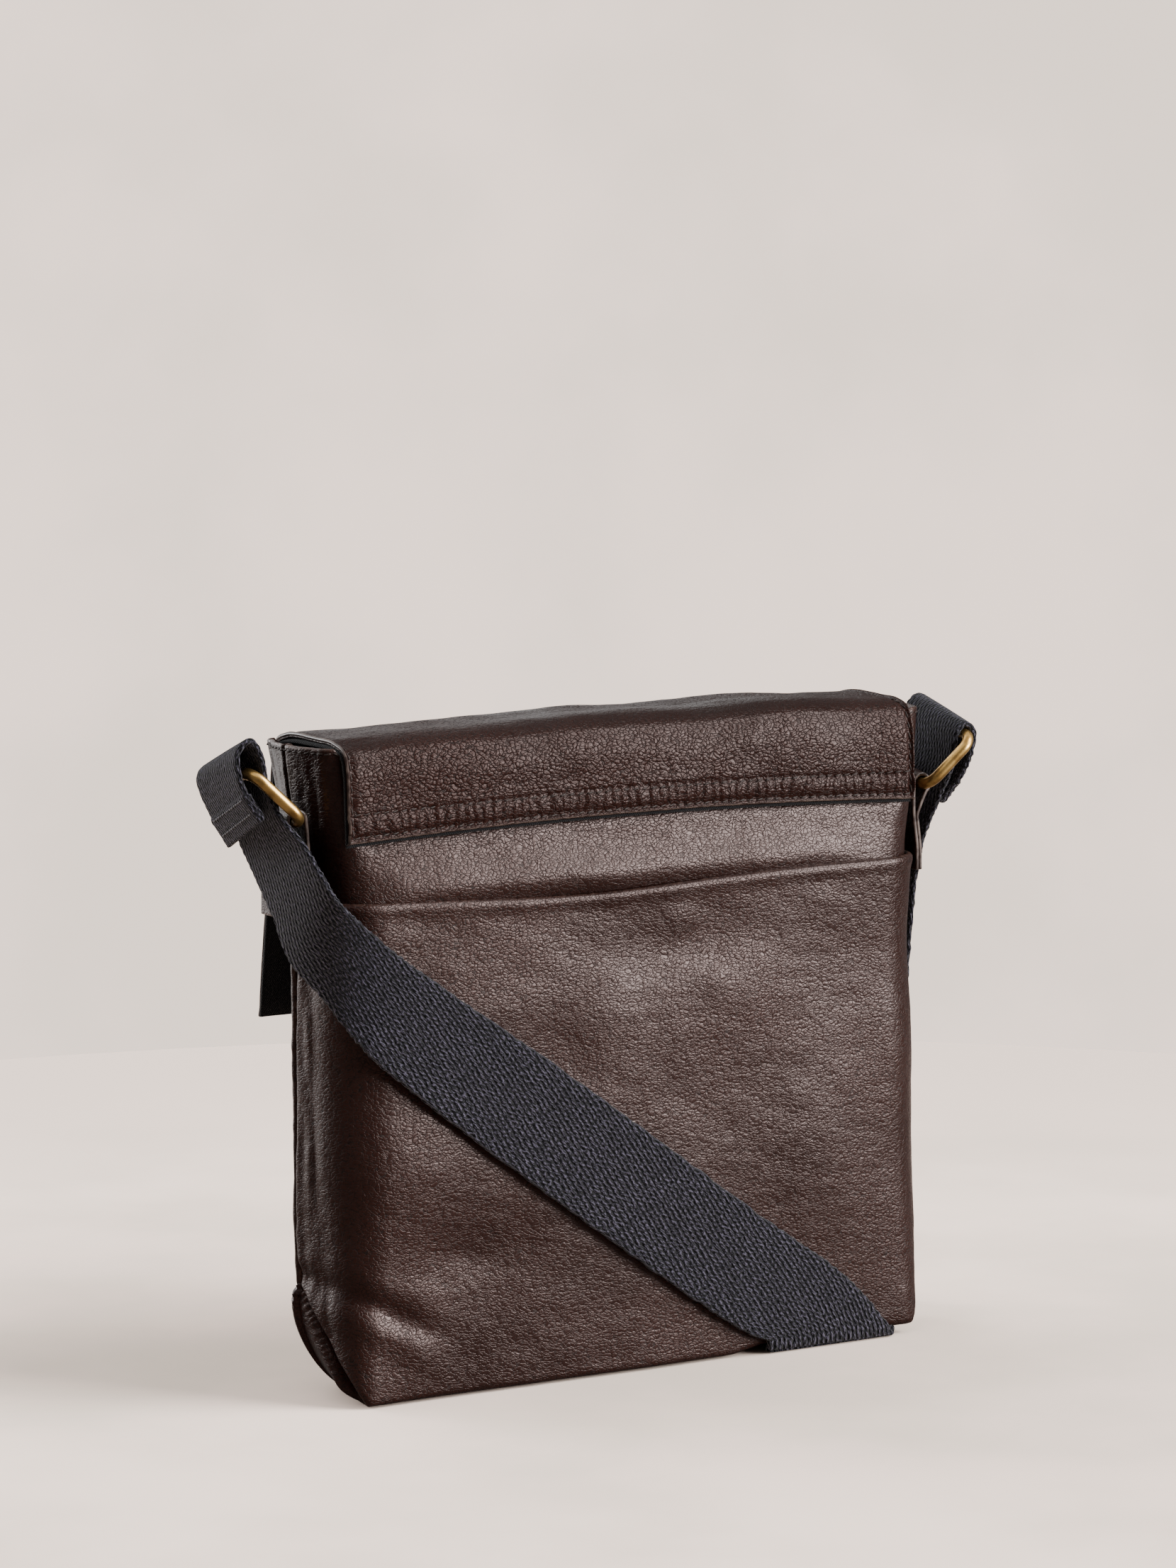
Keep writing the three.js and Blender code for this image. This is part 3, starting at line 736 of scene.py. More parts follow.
@dataclass(frozen=True)
class PebbledGrain(Effect):
    """Leather grain: random cells domed by one minus the squared distance from their middles.

    The cells are warped and flattened, with grooves between them, smaller domes on them and level
    creases across them. The group goes from a place and a count of pebbles to a height, the
    valleys between the pebbles and cloudy patches.
    """

    name: str = "pebbled_grain"
    warp_scale: float = 260.0
    warp_reach: float = 0.003
    flattening: Triple = (0.66, 0.66, 1.15)
    small: float = 2.2
    groove: float = 0.10
    crease_scale: float = 230.0
    crease_flattening: Triple = (0.4, 0.4, 1.5)
    patch_scale: float = 17.0
    shallow: float = 0.6
    small_height: float = 0.22
    dome_height: float = 0.66
    groove_height: float = 0.22
    crease_height: float = 0.3

    def make(self) -> NodeTree:
        """Makes the tree.

        Returns:
            The tree.
        """
        outputs = ("Height", "Valleys", "Patches")
        kit, given, made = self.start("Place", ("Pebbles per metre",), outputs)
        place = kit.shaken(given["Place"], self.warp_scale, 1.0, self.warp_reach)
        cells = kit.vector("MULTIPLY", place, self.flattening)
        cells = kit.scaled(cells, given["Pebbles per metre"])
        domes, small_domes = (
            kit.math("SUBTRACT", 1.0, kit.math("POWER", kit.cells(at, "F1"), 2.0))
            for at in (cells, kit.scaled(cells, self.small))
        )
        grooves = kit.remap(kit.cells(cells, "DISTANCE_TO_EDGE"), 0.0, self.groove)
        creases = kit.vector("MULTIPLY", place, self.crease_flattening)
        creases = kit.noise(creases, self.crease_scale)
        patches = kit.noise(given["Place"], self.patch_scale, 3.0)
        depth = kit.remap(patches, *NOISE_RANGE, self.shallow, 1.0)
        relief = kit.math("MULTIPLY", domes, self.dome_height)
        relief = kit.math("MULTIPLY_ADD", small_domes, self.small_height, relief)
        relief = kit.math("MULTIPLY_ADD", grooves, self.groove_height, relief)
        relief = kit.math("MULTIPLY", relief, depth)
        valleys = kit.math("SUBTRACT", 1.0, grooves)
        relief = kit.math("MULTIPLY_ADD", creases, self.crease_height, relief)
        valleys = kit.math("MULTIPLY", valleys, depth)
        kit.fill(made, {"Height": relief, "Valleys": valleys, "Patches": patches})
        return kit.tree


@dataclass(frozen=True)
class EdgeWear(Effect):
    """Wear along edges: strongest at a piece's edge, and broken up by noise.

    The group goes from a place, the distance to the edge and the worn width, both in millimetres,
    to a mask.
    """

    name: str = "edge_wear"
    break_scale: float = 420.0
    break_range: Pair = (0.35, 0.7)

    def make(self) -> NodeTree:
        """Makes the tree.

        Returns:
            The tree.
        """
        kit, given, made = self.start("Place", ("Edge", "Width"), ("Wear",))
        near = kit.math("SUBTRACT", 1.0, kit.math("DIVIDE", given["Edge"], given["Width"]))
        near = kit.math("MAXIMUM", near, 0.0)
        broken = kit.remap(kit.noise(given["Place"], self.break_scale, 4.0), *self.break_range)
        kit.fill(made, {"Wear": kit.math("MULTIPLY", near, broken)})
        return kit.tree


@dataclass(frozen=True)
class WovenThreads(Effect):
    """Weave: slanting ribs crossed by fainter ones, as the sum of two cosines of their counts.

    The group goes from lengths across and along in metres, with threads per metre each way, to a
    height and fine fibres.
    """

    name: str = "woven_threads"
    shake_scale: float = 330.0
    shake_reach: float = 0.0009
    rib_height: float = 0.32
    weft_height: float = 0.18
    roundness: float = 0.7
    strands: Pair = (3.2, 2.2)

    def make(self) -> NodeTree:
        """Makes the tree.

        Returns:
            The tree.
        """
        kit, given, made = self.start("Spread", ("Across", "Along"), ("Height", "Fibres"))
        spread = kit.shaken(given["Spread"], self.shake_scale, 2.0, self.shake_reach)
        x, y, _ = kit.split(spread)
        across = kit.math("MULTIPLY", x, given["Across"])
        along = kit.math("MULTIPLY", y, given["Along"])
        rib, weft = kit.math("ADD", across, along), kit.math("SUBTRACT", across, along)
        ribs, wefts = (
            kit.math("COSINE", kit.math("MULTIPLY", count, 2 * math.pi)) for count in (rib, weft)
        )
        wave = kit.math("MULTIPLY_ADD", wefts, self.weft_height, 0.5)
        wave = kit.math("MULTIPLY_ADD", ribs, self.rib_height, wave)
        counts = zip((rib, weft), self.strands)
        strands = [kit.math("MULTIPLY", count, finer) for count, finer in counts]
        strands = kit.add("ShaderNodeCombineXYZ", dict(enumerate(strands)))
        fibres = kit.remap(kit.noise(strands.outputs[0], 1.0), *NOISE_RANGE)
        kit.fill(made, {"Height": kit.math("POWER", wave, self.roundness), "Fibres": fibres})
        return kit.tree


@dataclass(frozen=True)
class Finish:
    """What all finishes have: a name and the start of a material."""

    name: str

    def start(self) -> tuple[NodeKit, Material, Node]:
        """New material with its Principled shader.
        """
        material = bpy.data.materials.new(self.name)
        material.use_nodes = True
        kit = NodeKit(material.node_tree)
        return kit, material, material.node_tree.nodes["Principled BSDF"]

    @staticmethod
    def place(kit: NodeKit) -> Socket:
        """Object coordinates."""
        return kit.add("ShaderNodeTexCoord").outputs["Object"]

    @staticmethod
    def group(kit: NodeKit, effect: Effect, **values: Socket | float) -> Node:
        """Places a node group.

        Args:
            kit: Kit of the material's tree.
            effect: What the group makes.
            values: What goes into each input; an underscore in a name stands for a space.

        Returns:
            The group's node.
        """
        inputs = {key.replace("_", " "): value for key, value in values.items()}
        return kit.fill(kit.add("ShaderNodeGroup", node_tree=effect.tree()), inputs)

    @staticmethod
    def bump(
        kit: NodeKit, shader: Node, height: Socket, depth: float, strength: float = 1.0
    ) -> None:
        """Feeds a height to the shader's normal.

        Args:
            kit: Kit of the material's tree.
            shader: Principled shader.
            height: Height from 0 to 1.
            depth: What a height of 1 stands for, in millimetres.
            strength: Strength of the bump.
        """
        inputs = {"Strength": strength, "Distance": depth * MM, "Height": height}
        kit.fill(shader, {"Normal": kit.add("ShaderNodeBump", inputs).outputs["Normal"]})


@dataclass(frozen=True)
class LeatherFinish(Finish):
    """Dark brown pebbled leather with a low gloss and painted shade in the grain's valleys."""

    # The deep colour is the dark end of the random patch tone and the painted shade in the valleys.
    deep_tone_and_valley_shade: Colour = (0.0008, 0.0003, 0.0002, 1.0)
    full: Colour = (0.0135, 0.0039, 0.0026, 1.0)
    worn: Colour = (0.06, 0.034, 0.026, 1.0)
    pebble_mm: float = 1.15
    grain_depth_mm: float = 0.22
    gloss: float = 0.31
    shine: float = 0.25
    tint: Colour = (1.0, 0.78, 0.73, 1.0)
    worn_width_mm: float = 1.6
    worn_share: float = 0.6
    patch_range: Pair = (0.25, 0.75)
    patch_tone: float = 0.55
    valley_shade_share: float = 0.95
    duller: float = 0.25

    def material(self) -> Material:
        """Builds the material.

        Returns:
            The material.
        """
        kit, material, shader = self.start()
        place = self.place(kit)
        pebbles = 1.0 / (self.pebble_mm * MM)
        grain = self.group(kit, PebbledGrain(), Place=place, Pebbles_per_metre=pebbles)
        valleys, patches = grain.outputs["Valleys"], grain.outputs["Patches"]
        edge = kit.add("ShaderNodeAttribute", attribute_name="edge_mm").outputs["Fac"]
        wear = self.group(kit, EdgeWear(), Place=place, Edge=edge, Width=self.worn_width_mm)
        wear = kit.math("MULTIPLY", wear.outputs["Wear"], self.worn_share)
        tone = kit.remap(patches, *self.patch_range, self.patch_tone, 1.0)
        colour = kit.blend(tone, self.deep_tone_and_valley_shade, self.full)
        # Painted shade: the valleys between the pebbles turn nearly to the deep colour.
        colour = kit.blend(kit.math("MULTIPLY", valleys, self.valley_shade_share), colour, self.deep_tone_and_valley_shade)
        rough = kit.math("MULTIPLY_ADD", valleys, self.duller, self.gloss)
        patchy = kit.math("SUBTRACT", patches, 0.5)
        inputs = {
            "Base Color": kit.blend(wear, colour, self.worn),
            "Roughness": kit.math("MULTIPLY_ADD", patchy, self.duller, rough),
            "Specular IOR Level": self.shine,
            "Specular Tint": self.tint,
        }
        kit.fill(shader, inputs)
        self.bump(kit, shader, grain.outputs["Height"], self.grain_depth_mm)
        return material


@dataclass(frozen=True)
class CloudyFinish(Finish):
    """A finish whose colour, roughness and height follow one noise."""

    dark: Colour
    light: Colour
    scale: float
    detail: float
    light_range: Pair
    depth_mm: float
    smoothest: float
    duller: float
    shine: float

    def material(self) -> Material:
        """Builds the material.

        Returns:
            The material.
        """
        kit, material, shader = self.start()
        noise = kit.noise(self.place(kit), self.scale, self.detail)
        inputs = {
            "Base Color": kit.blend(kit.remap(noise, *self.light_range), self.dark, self.light),
            "Roughness": kit.math("MULTIPLY_ADD", noise, self.duller, self.smoothest),
            "Specular IOR Level": self.shine,
        }
        kit.fill(shader, inputs)
        self.bump(kit, shader, noise, self.depth_mm, 0.5)
        return material


@dataclass(frozen=True)
class EdgePaintFinish(CloudyFinish):
    """Glossy paint on a cut leather edge, lighter where it is rubbed."""

    dark: Colour = (0.02, 0.012, 0.01, 1.0)
    light: Colour = (0.075, 0.055, 0.047, 1.0)
    scale: float = 300.0
    detail: float = 4.0
    light_range: Pair = NOISE_RANGE
    depth_mm: float = 0.15
    smoothest: float = 0.21
    duller: float = 0.3
    shine: float = 0.25


@dataclass(frozen=True)
class ThreadFinish(CloudyFinish):
    """Waxed sewing thread with a fine twist."""

    dark: Colour = (0.005, 0.0026, 0.002, 1.0)
    light: Colour = (0.024, 0.013, 0.01, 1.0)
    scale: float = 3200.0
    detail: float = 2.0
    light_range: Pair = (0.35, 0.65)
    depth_mm: float = 0.1
    smoothest: float = 0.45
    duller: float = 0.2
    shine: float = 0.2


@dataclass(frozen=True)
class WovenFinish(Finish):
    """Woven cloth: floats of thread over a ground of painted shade where the weave sinks."""

    # The ground colour is painted shade between the floats of thread.
    shaded_ground: Colour = (0.0005, 0.0006, 0.0014, 1.0)
    thread: Colour = (0.05, 0.045, 0.066, 1.0)
    across_mm: float = 1.88
    along_mm: float = 5.55
    depth_mm: float = 1.1
    roughness: float = 0.82
    fibre_dull: float = 0.2
    sheen: float = 0.08
    sheen_roughness: float = 0.45
    shine: float = 0.1
    fibre_share: float = 1.7
    fibre_height: float = 0.3
    lit_range: Pair = (0.1, 1.45)
    lit_power: float = 3.0
    cloud_scale: float = 60.0
    cloud_tone: float = 0.8

    def material(self) -> Material:
        """Builds the material.

        Returns:
            The material.
        """
        kit, material, shader = self.start()
        spread = kit.add("ShaderNodeUVMap", uv_map="spread").outputs["UV"]
        across, along = 1.0 / (self.across_mm * MM), 1.0 / (self.along_mm * MM)
        weave = self.group(kit, WovenThreads(), Spread=spread, Across=across, Along=along)
        height, fibres = weave.outputs["Height"], weave.outputs["Fibres"]
        stray = kit.math("SUBTRACT", fibres, 0.5)
        # Painted shade: the colour falls from the thread's to the ground's where the weave sinks;
        # the fibres and clouds vary the tone at random.
        lit = kit.math("MULTIPLY_ADD", stray, self.fibre_share, height)
        share = kit.math("POWER", kit.remap(lit, *self.lit_range), self.lit_power)
        cloud = kit.noise(self.place(kit), self.cloud_scale)
        cloud = kit.remap(cloud, *NOISE_RANGE, self.cloud_tone, 1.0)
        share = kit.math("MULTIPLY", share, cloud)
        smoothest = self.roughness - self.fibre_dull / 2
        inputs = {
            "Base Color": kit.blend(share, self.shaded_ground, self.thread),
            "Roughness": kit.math("MULTIPLY_ADD", fibres, self.fibre_dull, smoothest),
            "Sheen Weight": self.sheen,
            "Sheen Roughness": self.sheen_roughness,
            "Specular IOR Level": self.shine,
        }
        kit.fill(shader, inputs)
        relief = kit.math("MULTIPLY_ADD", fibres, self.fibre_height, height)
        self.bump(kit, shader, relief, self.depth_mm)
        return material


@dataclass(frozen=True)
class BrassFinish(Finish):
    """Antique brass: warm, with darker tarnish in patches and fine rubbing."""

    bright: Colour = (0.56, 0.35, 0.115, 1.0)
    tarnish: Colour = (0.25, 0.14, 0.042, 1.0)
    smoothest: float = 0.18
    patch_scale: float = 140.0
    patch_range: Pair = (0.42, 0.72)
    patch_dull: float = 0.2
    rub_scale: float = 2200.0
    rub_stretch: Triple = (1.0, 0.25, 1.0)
    rub_dull: float = 0.12
    rub_depth_mm: float = 0.02

    def material(self) -> Material:
        """Builds the material.

        Returns:
            The material.
        """
        kit, material, shader = self.start()
        place = self.place(kit)
        patches = kit.noise(place, self.patch_scale, 4.0)
        rubbing = kit.noise(kit.vector("MULTIPLY", place, self.rub_stretch), self.rub_scale)
        colour = kit.blend(kit.remap(patches, *self.patch_range), self.bright, self.tarnish)
        rough = kit.math("MULTIPLY_ADD", patches, self.patch_dull, self.smoothest)
        rough = kit.math("MULTIPLY_ADD", rubbing, self.rub_dull, rough)
        kit.fill(shader, {"Base Color": colour, "Metallic": 1.0, "Roughness": rough})
        self.bump(kit, shader, rubbing, self.rub_depth_mm, 0.35)
        return material


@dataclass(frozen=True)
class PlasterFinish(Finish):
    """Pale plaster of the floor, a little cloudy near the bag; its painted reflection is darker."""

    pale: Colour = (0.85, 0.68, 0.585, 1.0)
    cloud: Colour = (0.68, 0.565, 0.475, 1.0)
    painted_reflection: Colour = (0.1, 0.0825, 0.0725, 1.0)
    mirrored_front: Colour = (0.5, 0.41, 0.36, 1.0)
    far: Colour = (0.71, 0.572, 0.487, 1.0)
    cloud_scale: float = 5.5
    cloud_range: Pair = (0.35, 0.68)
    cloud_fade: Pair = (0.3, 0.74)
    far_fade: Pair = (0.36, 0.72)
    front_fade: Pair = (0.0, 0.35)
    roughness: float = 0.85
    shine: float = 0.2
    grit_scale: float = 160.0
    grit_depth_mm: float = 0.3

    def material(self) -> Material:
        """Builds the material.

        Returns:
            The material.
        """
        kit, material, shader = self.start()
        place = self.place(kit)
        distance = kit.length(place)
        near = kit.remap(distance, *self.cloud_fade, 1.0, 0.0)
        clouds = kit.math("SUBTRACT", kit.noise(place, self.cloud_scale, 5.0), 0.5)
        clouds = kit.math("MULTIPLY_ADD", clouds, near, 0.5)
        colour = kit.blend(kit.remap(clouds, *self.cloud_range), self.pale, self.cloud)
        colour = kit.blend(kit.remap(distance, *self.far_fade), colour, self.far)
        # Painted reflection: glossy rays see the floor much darker than it is, and lighter towards
        # +y, which gives the bag's front a sheen.
        front = kit.remap(kit.split(place)[1], *self.front_fade)
        dark = kit.blend(front, self.painted_reflection, self.mirrored_front)
        painted_reflection = kit.add("ShaderNodeLightPath").outputs["Is Glossy Ray"]
        inputs = {
            "Base Color": kit.blend(painted_reflection, colour, dark),
            "Roughness": self.roughness,
            "Specular IOR Level": self.shine,
        }
        kit.fill(shader, inputs)
        grit = kit.noise(place, self.grit_scale, 5.0)
        self.bump(kit, shader, grit, self.grit_depth_mm, 0.15)
        return material


@dataclass(frozen=True)
class Finishes:
    """The materials of the bag."""

    leather: Material
    flap_leather: Material
    edge: Material
    lining: Material
    webbing: Material
    brass: Material
    thread: Material
    strap_thread: Material

    @classmethod
    def make(cls) -> Finishes:
        """Builds every material once.

        Returns:
            The materials.
        """
        finishes = {
            "leather": LeatherFinish("grained_leather"),
            "flap_leather": LeatherFinish(
                "flap_leather",
                worn=(0.13, 0.09, 0.075, 1.0),
                pebble_mm=1.3,
                grain_depth_mm=0.4,
                shine=0.13,
                worn_width_mm=1.2,
            ),
            "edge": EdgePaintFinish("edge_paint"),
            "lining": WovenFinish(
                "black_lining",
                shaded_ground=(0.004, 0.004, 0.005, 1.0),
                thread=(0.007, 0.006, 0.0065, 1.0),
                across_mm=0.9,
                along_mm=1.3,
                depth_mm=0.25,
            ),
            "webbing": WovenFinish("navy_webbing"),
            "brass": BrassFinish("antique_brass"),
            "thread": ThreadFinish("brown_thread"),
            "strap_thread": ThreadFinish(
                "grey_thread", dark=(0.03, 0.03, 0.036, 1.0), light=(0.1, 0.1, 0.112, 1.0)
            ),
        }
        return cls(**{use: finish.material() for use, finish in finishes.items()})


# The strap


@dataclass(frozen=True)
class Station:
    """One place on the strap's run: its two edges, a nearer the back of the bag and b its front."""

    at: str
    a: tuple[float, float, float]
    b: tuple[float, float, float]


STRAP_RUN = (
    Station("left hem", (-153.8, -17, 218.6), (-147, 19.4, 205)),
    Station("left outer leg", (-161.4, -17, 230.6), (-155.2, 19.4, 218)),
    Station("left outer turn", (-163.4, -16.9, 242.2), (-159.9, 19.5, 230)),
    Station("left top", (-158.4, -16.8, 247.4), (-155, 19.6, 234.8)),
    Station("left inner turn", (-154, -16.8, 242.2), (-151, 19.6, 230)),
    Station("left inner leg", (-151.8, -17.2, 231.2), (-148, 19, 218.4)),
    Station("under the left hem", (-148, -18.4, 220.4), (-144.2, 16.5, 206.4)),
    Station("off the ring", (-141.6, -24, 210.4), (-140.6, 10.5, 192.6)),
    Station("past the tab", (-139.3, -29.8, 202.6), (-139.2, 1, 180.5)),
    Station("on the gusset", (-133.8, -34.5, 190.6), (-138, -10, 164.4)),
    Station("round the corner", (-125.2, -35.2, 181.6), (-131.8, -22, 152.4)),
    Station("corner passed", (-108, -35.4, 166.8), (-124, -31.6, 137.8)),
    Station("upper back", (-85, -35.2, 150.4), (-108, -34.8, 121.8)),
    Station("middle of the back", (-30, -35.6, 112.2), (-53.5, -35.6, 79.4)),
    Station("lower back", (43, -35.6, 58.6), (19.5, -35, 26.4)),
    Station("near the floor", (86.4, -34.8, 28.2), (45, -34.4, 9.6)),
    Station("above the fold", (105.6, -34.3, 9.4), (53.4, -34.3, 5.6)),
    Station("floor fold", (111.6, -33.4, 2), (55.6, -33.4, 2)),
    Station("under the back edge", (115.6, -29, 1.1), (60, -29, 1.1)),
    Station("under the base", (127, -11, 1.1), (90, 5, 1.1)),
    Station("under the front edge", (138, 8, 1.1), (109, 35, 1.1)),
    Station("off the base", (145.4, 17, 1.1), (116, 44, 1.1)),
    Station("front turn", (150.8, 22.2, 4.4), (121.6, 49.4, 4.4)),
    Station("front rise", (152, 22, 14), (123, 49.4, 14)),
    Station("low front corner", (151.5, 20, 60), (123.4, 48.6, 60)),
    Station("high front corner", (149.5, 11, 130), (129, 45.2, 130)),
    Station("right side", (147.4, 0, 180), (131.4, 36.4, 182)),
    Station("under the right hem", (148, -11.5, 203), (142.8, 27, 207.5)),
    Station("right inner leg", (149.3, -19.6, 218), (149.8, 17, 226)),
    Station("right inner turn", (150.8, -20.4, 230), (154, 16.5, 238.4)),
    Station("right top", (154.9, -20.6, 234.6), (158.6, 16.4, 242.4)),
    Station("right outer turn", (159.4, -20.4, 230.2), (163.3, 16.5, 238.4)),
    Station("right outer leg", (156, -19.6, 217.5), (157, 17.4, 225)),
    Station("right hem", (151.2, -11, 203.6), (146.6, 28.4, 208)),
)


@dataclass
class Strap:
    """The woven shoulder strap, hem to hem."""

    width: float = 40.0
    thickness: float = 2.2
    hem: float = 13.0
    hem_fade: float = 1.2
    hem_thickness: float = 3.4
    rim_bulge: float = 0.7
    crown: float = 0.12
    steps_per_station: int = 26
    steps_across: int = 20
    tooth: float = 0.3
    tooth_pitch: float = 2.78
    tooth_wave: float = 0.5
    tooth_noise: Ripple = Ripple(1.0, 1.6, 51)
    tooth_power: int = 6
    lift: float = 3.1
    lift_half_width: float = 27.0
    lift_fade: float = 22.0
    hem_rows: Pair = (4.5, 10.5)
    hem_stitch: Triple = (2.6, 0.26, 4.0)
    stitch_lift: float = 0.08
    floor_gap: float = 0.02
    run: tuple[Station, ...] = STRAP_RUN
    on_floor: tuple[str, str] = ("floor fold", "off the base")

    def lift_at(self, x: Array, y: Array) -> Array:
        """How far the leather stands off the floor where the strap runs under it.

        The lift is whole within half a width of the strap's middle line and eases away outside.

        Args:
            x: Places along x.
            y: Places along y.

        Returns:
            The lift at each place.
        """
        names = [station.at for station in self.run]
        first, last = (names.index(name) for name in self.on_floor)
        middles = [np.add(s.a, s.b)[:2] / 2 for s in self.run[first : last + 1]]
        place = np.stack([x, y], -1)
        distance = np.full(np.shape(x), np.inf)
        for start, end in zip(middles, middles[1:]):
            way = end - start
            share = np.clip(((place - start) @ way) / (way @ way), 0, 1)
            beside = np.linalg.norm(place - start - share[..., None] * way, axis=-1)
            distance = np.minimum(distance, beside)
        outside = self.lift_half_width + self.lift_fade
        return self.lift * (1 - smoothstep(distance, self.lift_half_width, outside))

    def middle(self) -> Array:
        """Middle surface: straight lines across between two smooth curves through the edges.

        Returns:
            Grid with one row for each step along the strap, from edge b to edge a.
        """
        count = len(self.run) - 1
        at = np.linspace(0, count, count * self.steps_per_station + 1)
        edge_a = through_points(np.array([s.a for s in self.run], float), at, False)
        edge_b = through_points(np.array([s.b for s in self.run], float), at, False)
        across = np.linspace(0, 1, self.steps_across + 1)[None, :, None]
        grid = edge_b[:, None] * (1 - across) + edge_a[:, None] * across
        grid[..., 2] = np.maximum(grid[..., 2], self.thickness / 2)
        return grid

    def webbing(self, middle: Array, along: Array, thickness: Array) -> Loops:
        """The sheet: a little thicker in the middle of its width, with knobbly selvedges.

        The knobs are a cosine of the length along the strap plus noise. They push the edges out
        and in across the strap, and fade with a power of the share of the half width.

        Args:
            middle: Middle surface.
            along: Length of each row from the strap's start.
            thickness: Thickness of each row.

        Returns:
            The loops of the sheet.
        """
        share = np.linspace(-1, 1, self.steps_across + 1)
        crown = self.crown * (1 - share**2)
        face = middle + grid_normals(middle) * (thickness[:, None] / 2 + crown)[..., None]
        face[..., 2] = np.maximum(face[..., 2], self.floor_gap)
        loops = skin(face, thickness[:, None] + 2 * crown, self.rim_bulge)
        caps = (len(loops.points) - len(face)) // 2
        rim = np.ones(loops.points.shape[1] // 2 - len(share))
        edges = np.concatenate([share, rim, share[::-1], -rim])
        wave = self.tooth_wave * np.cos(2 * np.pi * along / self.tooth_pitch)
        tooth = self.tooth * (wave + self.tooth_noise.at(along, 0 * along))
        way = unit(middle[:, -1] - middle[:, 0])
        knobs = np.pad(way * tooth[:, None], ((caps, caps), (0, 0)), mode="edge")
        fade = np.abs(edges) ** self.tooth_power * np.sign(edges)
        loops.points[...] += knobs[:, None] * fade[:, None]
        loops.points[..., 2] = np.maximum(loops.points[..., 2], self.floor_gap)
        wide = np.pad(lengths(face, 1)[:, -1], caps, mode="edge")
        loops.spread[..., 0] *= (self.width / wide)[:, None]
        return loops

    def hem_seams(self, middle: Array, along: Array, thickness: Array) -> list[Seam]:
        """Stitch rows across both hems, on both faces.

        Args:
            middle: Middle surface.
            along: Length of each row from the strap's start.
            thickness: Thickness of each row.

        Returns:
            The seams.
        """
        normals = grid_normals(middle)
        rows = np.arange(len(along))
        seams = []
        for order in (rows, rows[::-1]):
            run = np.abs(along[order] - along[order[0]])
            for distance in self.hem_rows:
                row = order[int(np.searchsorted(run, distance))]
                for sign in (1, -1):
                    lift = normals[row] * sign * (thickness[row] / 2 + self.stitch_lift)
                    line = middle[row] + lift
                    seams.append(Seam(line[1:-1], normals[row][1:-1] * sign, *self.hem_stitch))
        return seams

    def build(self, finishes: Finishes) -> None:
        """Builds the webbing, thicker at its hems, and the hem stitches.

        Args:
            finishes: Materials of the bag.
        """
        middle = self.middle()
        along = lengths(middle, 0).mean(1)
        from_end = np.minimum(along, along[-1] - along)
        hem = smoothstep(self.hem - from_end, 0, self.hem_fade)
        thickness = self.thickness + (self.hem_thickness - self.thickness) * hem
        webbing = self.webbing(middle, along, thickness)
        dress(webbing.object("webbing_strap", [finishes.webbing]), Slot.WEBBING, "strap")
        seams = self.hem_seams(middle, along, thickness)
        dress(stitch_object("strap_hem_stitches", seams, finishes.strap_thread), Slot.WEBBING)


# The walls


@dataclass(frozen=True)
class SectionTable:
    """Plan sections of a wall from the floor up, in millimetres.

    Attributes:
        z: Height of each section.
        left: Distance of the left corner from the middle.
        right: Distance of the right corner from the middle.
        depth: Depth out from the middle plane.
        corner: Corner radius.
        seam: How far the side seam stands out past the corners.
        tuck_left: How far the left corner is tucked in.
        tuck_right: How far the right corner is tucked in.
    """

    z: tuple[float, ...]
    left: tuple[float, ...]
    right: tuple[float, ...]
    depth: tuple[float, ...]
    corner: tuple[float, ...]
    seam: tuple[float, ...]
    tuck_left: tuple[float, ...]
    tuck_right: tuple[float, ...]

    def read(self, column: str, z: Array) -> Array:
        """A column's value at heights z."""
        return table_curve(self.z, getattr(self, column), z)


BACK_TABLE = SectionTable(
    z=(0, 45, 110, 186, 210, 243),
    left=(122.9, 126, 127.4, 127.4, 129.4, 132),
    right=(124.8, 128.8, 129.2, 129, 130.4, 133.2),
    depth=(29.4, 29.4, 28.6, 27, 26, 23.2),
    corner=(5, 14, 18, 16, 11, 6),
    seam=(5, 3.4, 2, 2, 2.4, 3.6),
    tuck_left=(0, 0, 0, 0, 0, 0),
    tuck_right=(0, 0, 0, 0, 0, 0),
)
FRONT_TABLE = SectionTable(
    z=(0, 45, 110, 186, 210, 243),
    left=(125.5, 128.6, 130, 130, 130, 132),
    right=(127.4, 131.4, 131.8, 131.6, 131.2, 133.2),
    depth=(31, 33, 32.5, 28, 25.4, 23.2),
    corner=(10, 20, 22, 18, 14, 6),
    seam=(5, 3.4, 2, 2, 2, 3.6),
    tuck_left=(24, 17, 9, 4, 2, 0),
    tuck_right=(10, 5, 2, 1, 0, 0),
)


@dataclass(frozen=True)
class Dent:
    """A soft swell of the back, or a dent where out is below 0."""

    x: float
    z: float
    wide: float
    tall: float
    out: float


BACK_DENTS = (
    Dent(5, 95, 90, 60, 1.6),
    Dent(25, 163, 34, 14, -1.0),
    Dent(-100, 88, 22, 26, 1.6),
    Dent(-78, 52, 26, 12, -1.5),
    Dent(-112, 26, 12, 14, -2.2),
    Dent(82, 70, 30, 34, 1.1),
    Dent(16, 170, 9, 7, 0.8),
    Dent(-36, 124, 16, 14, -1.2),
    Dent(34, 146, 26, 10, 0.6),
)


def dents_at(dents: tuple[Dent, ...], x: Array, z: Array) -> Array:
    """Sum of the dents, each a bell curve in x and z."""
    each = [d.out * hump(x, d.x, d.wide) * hump(z, d.z, d.tall) for d in dents]
    return np.sum(each, axis=0)


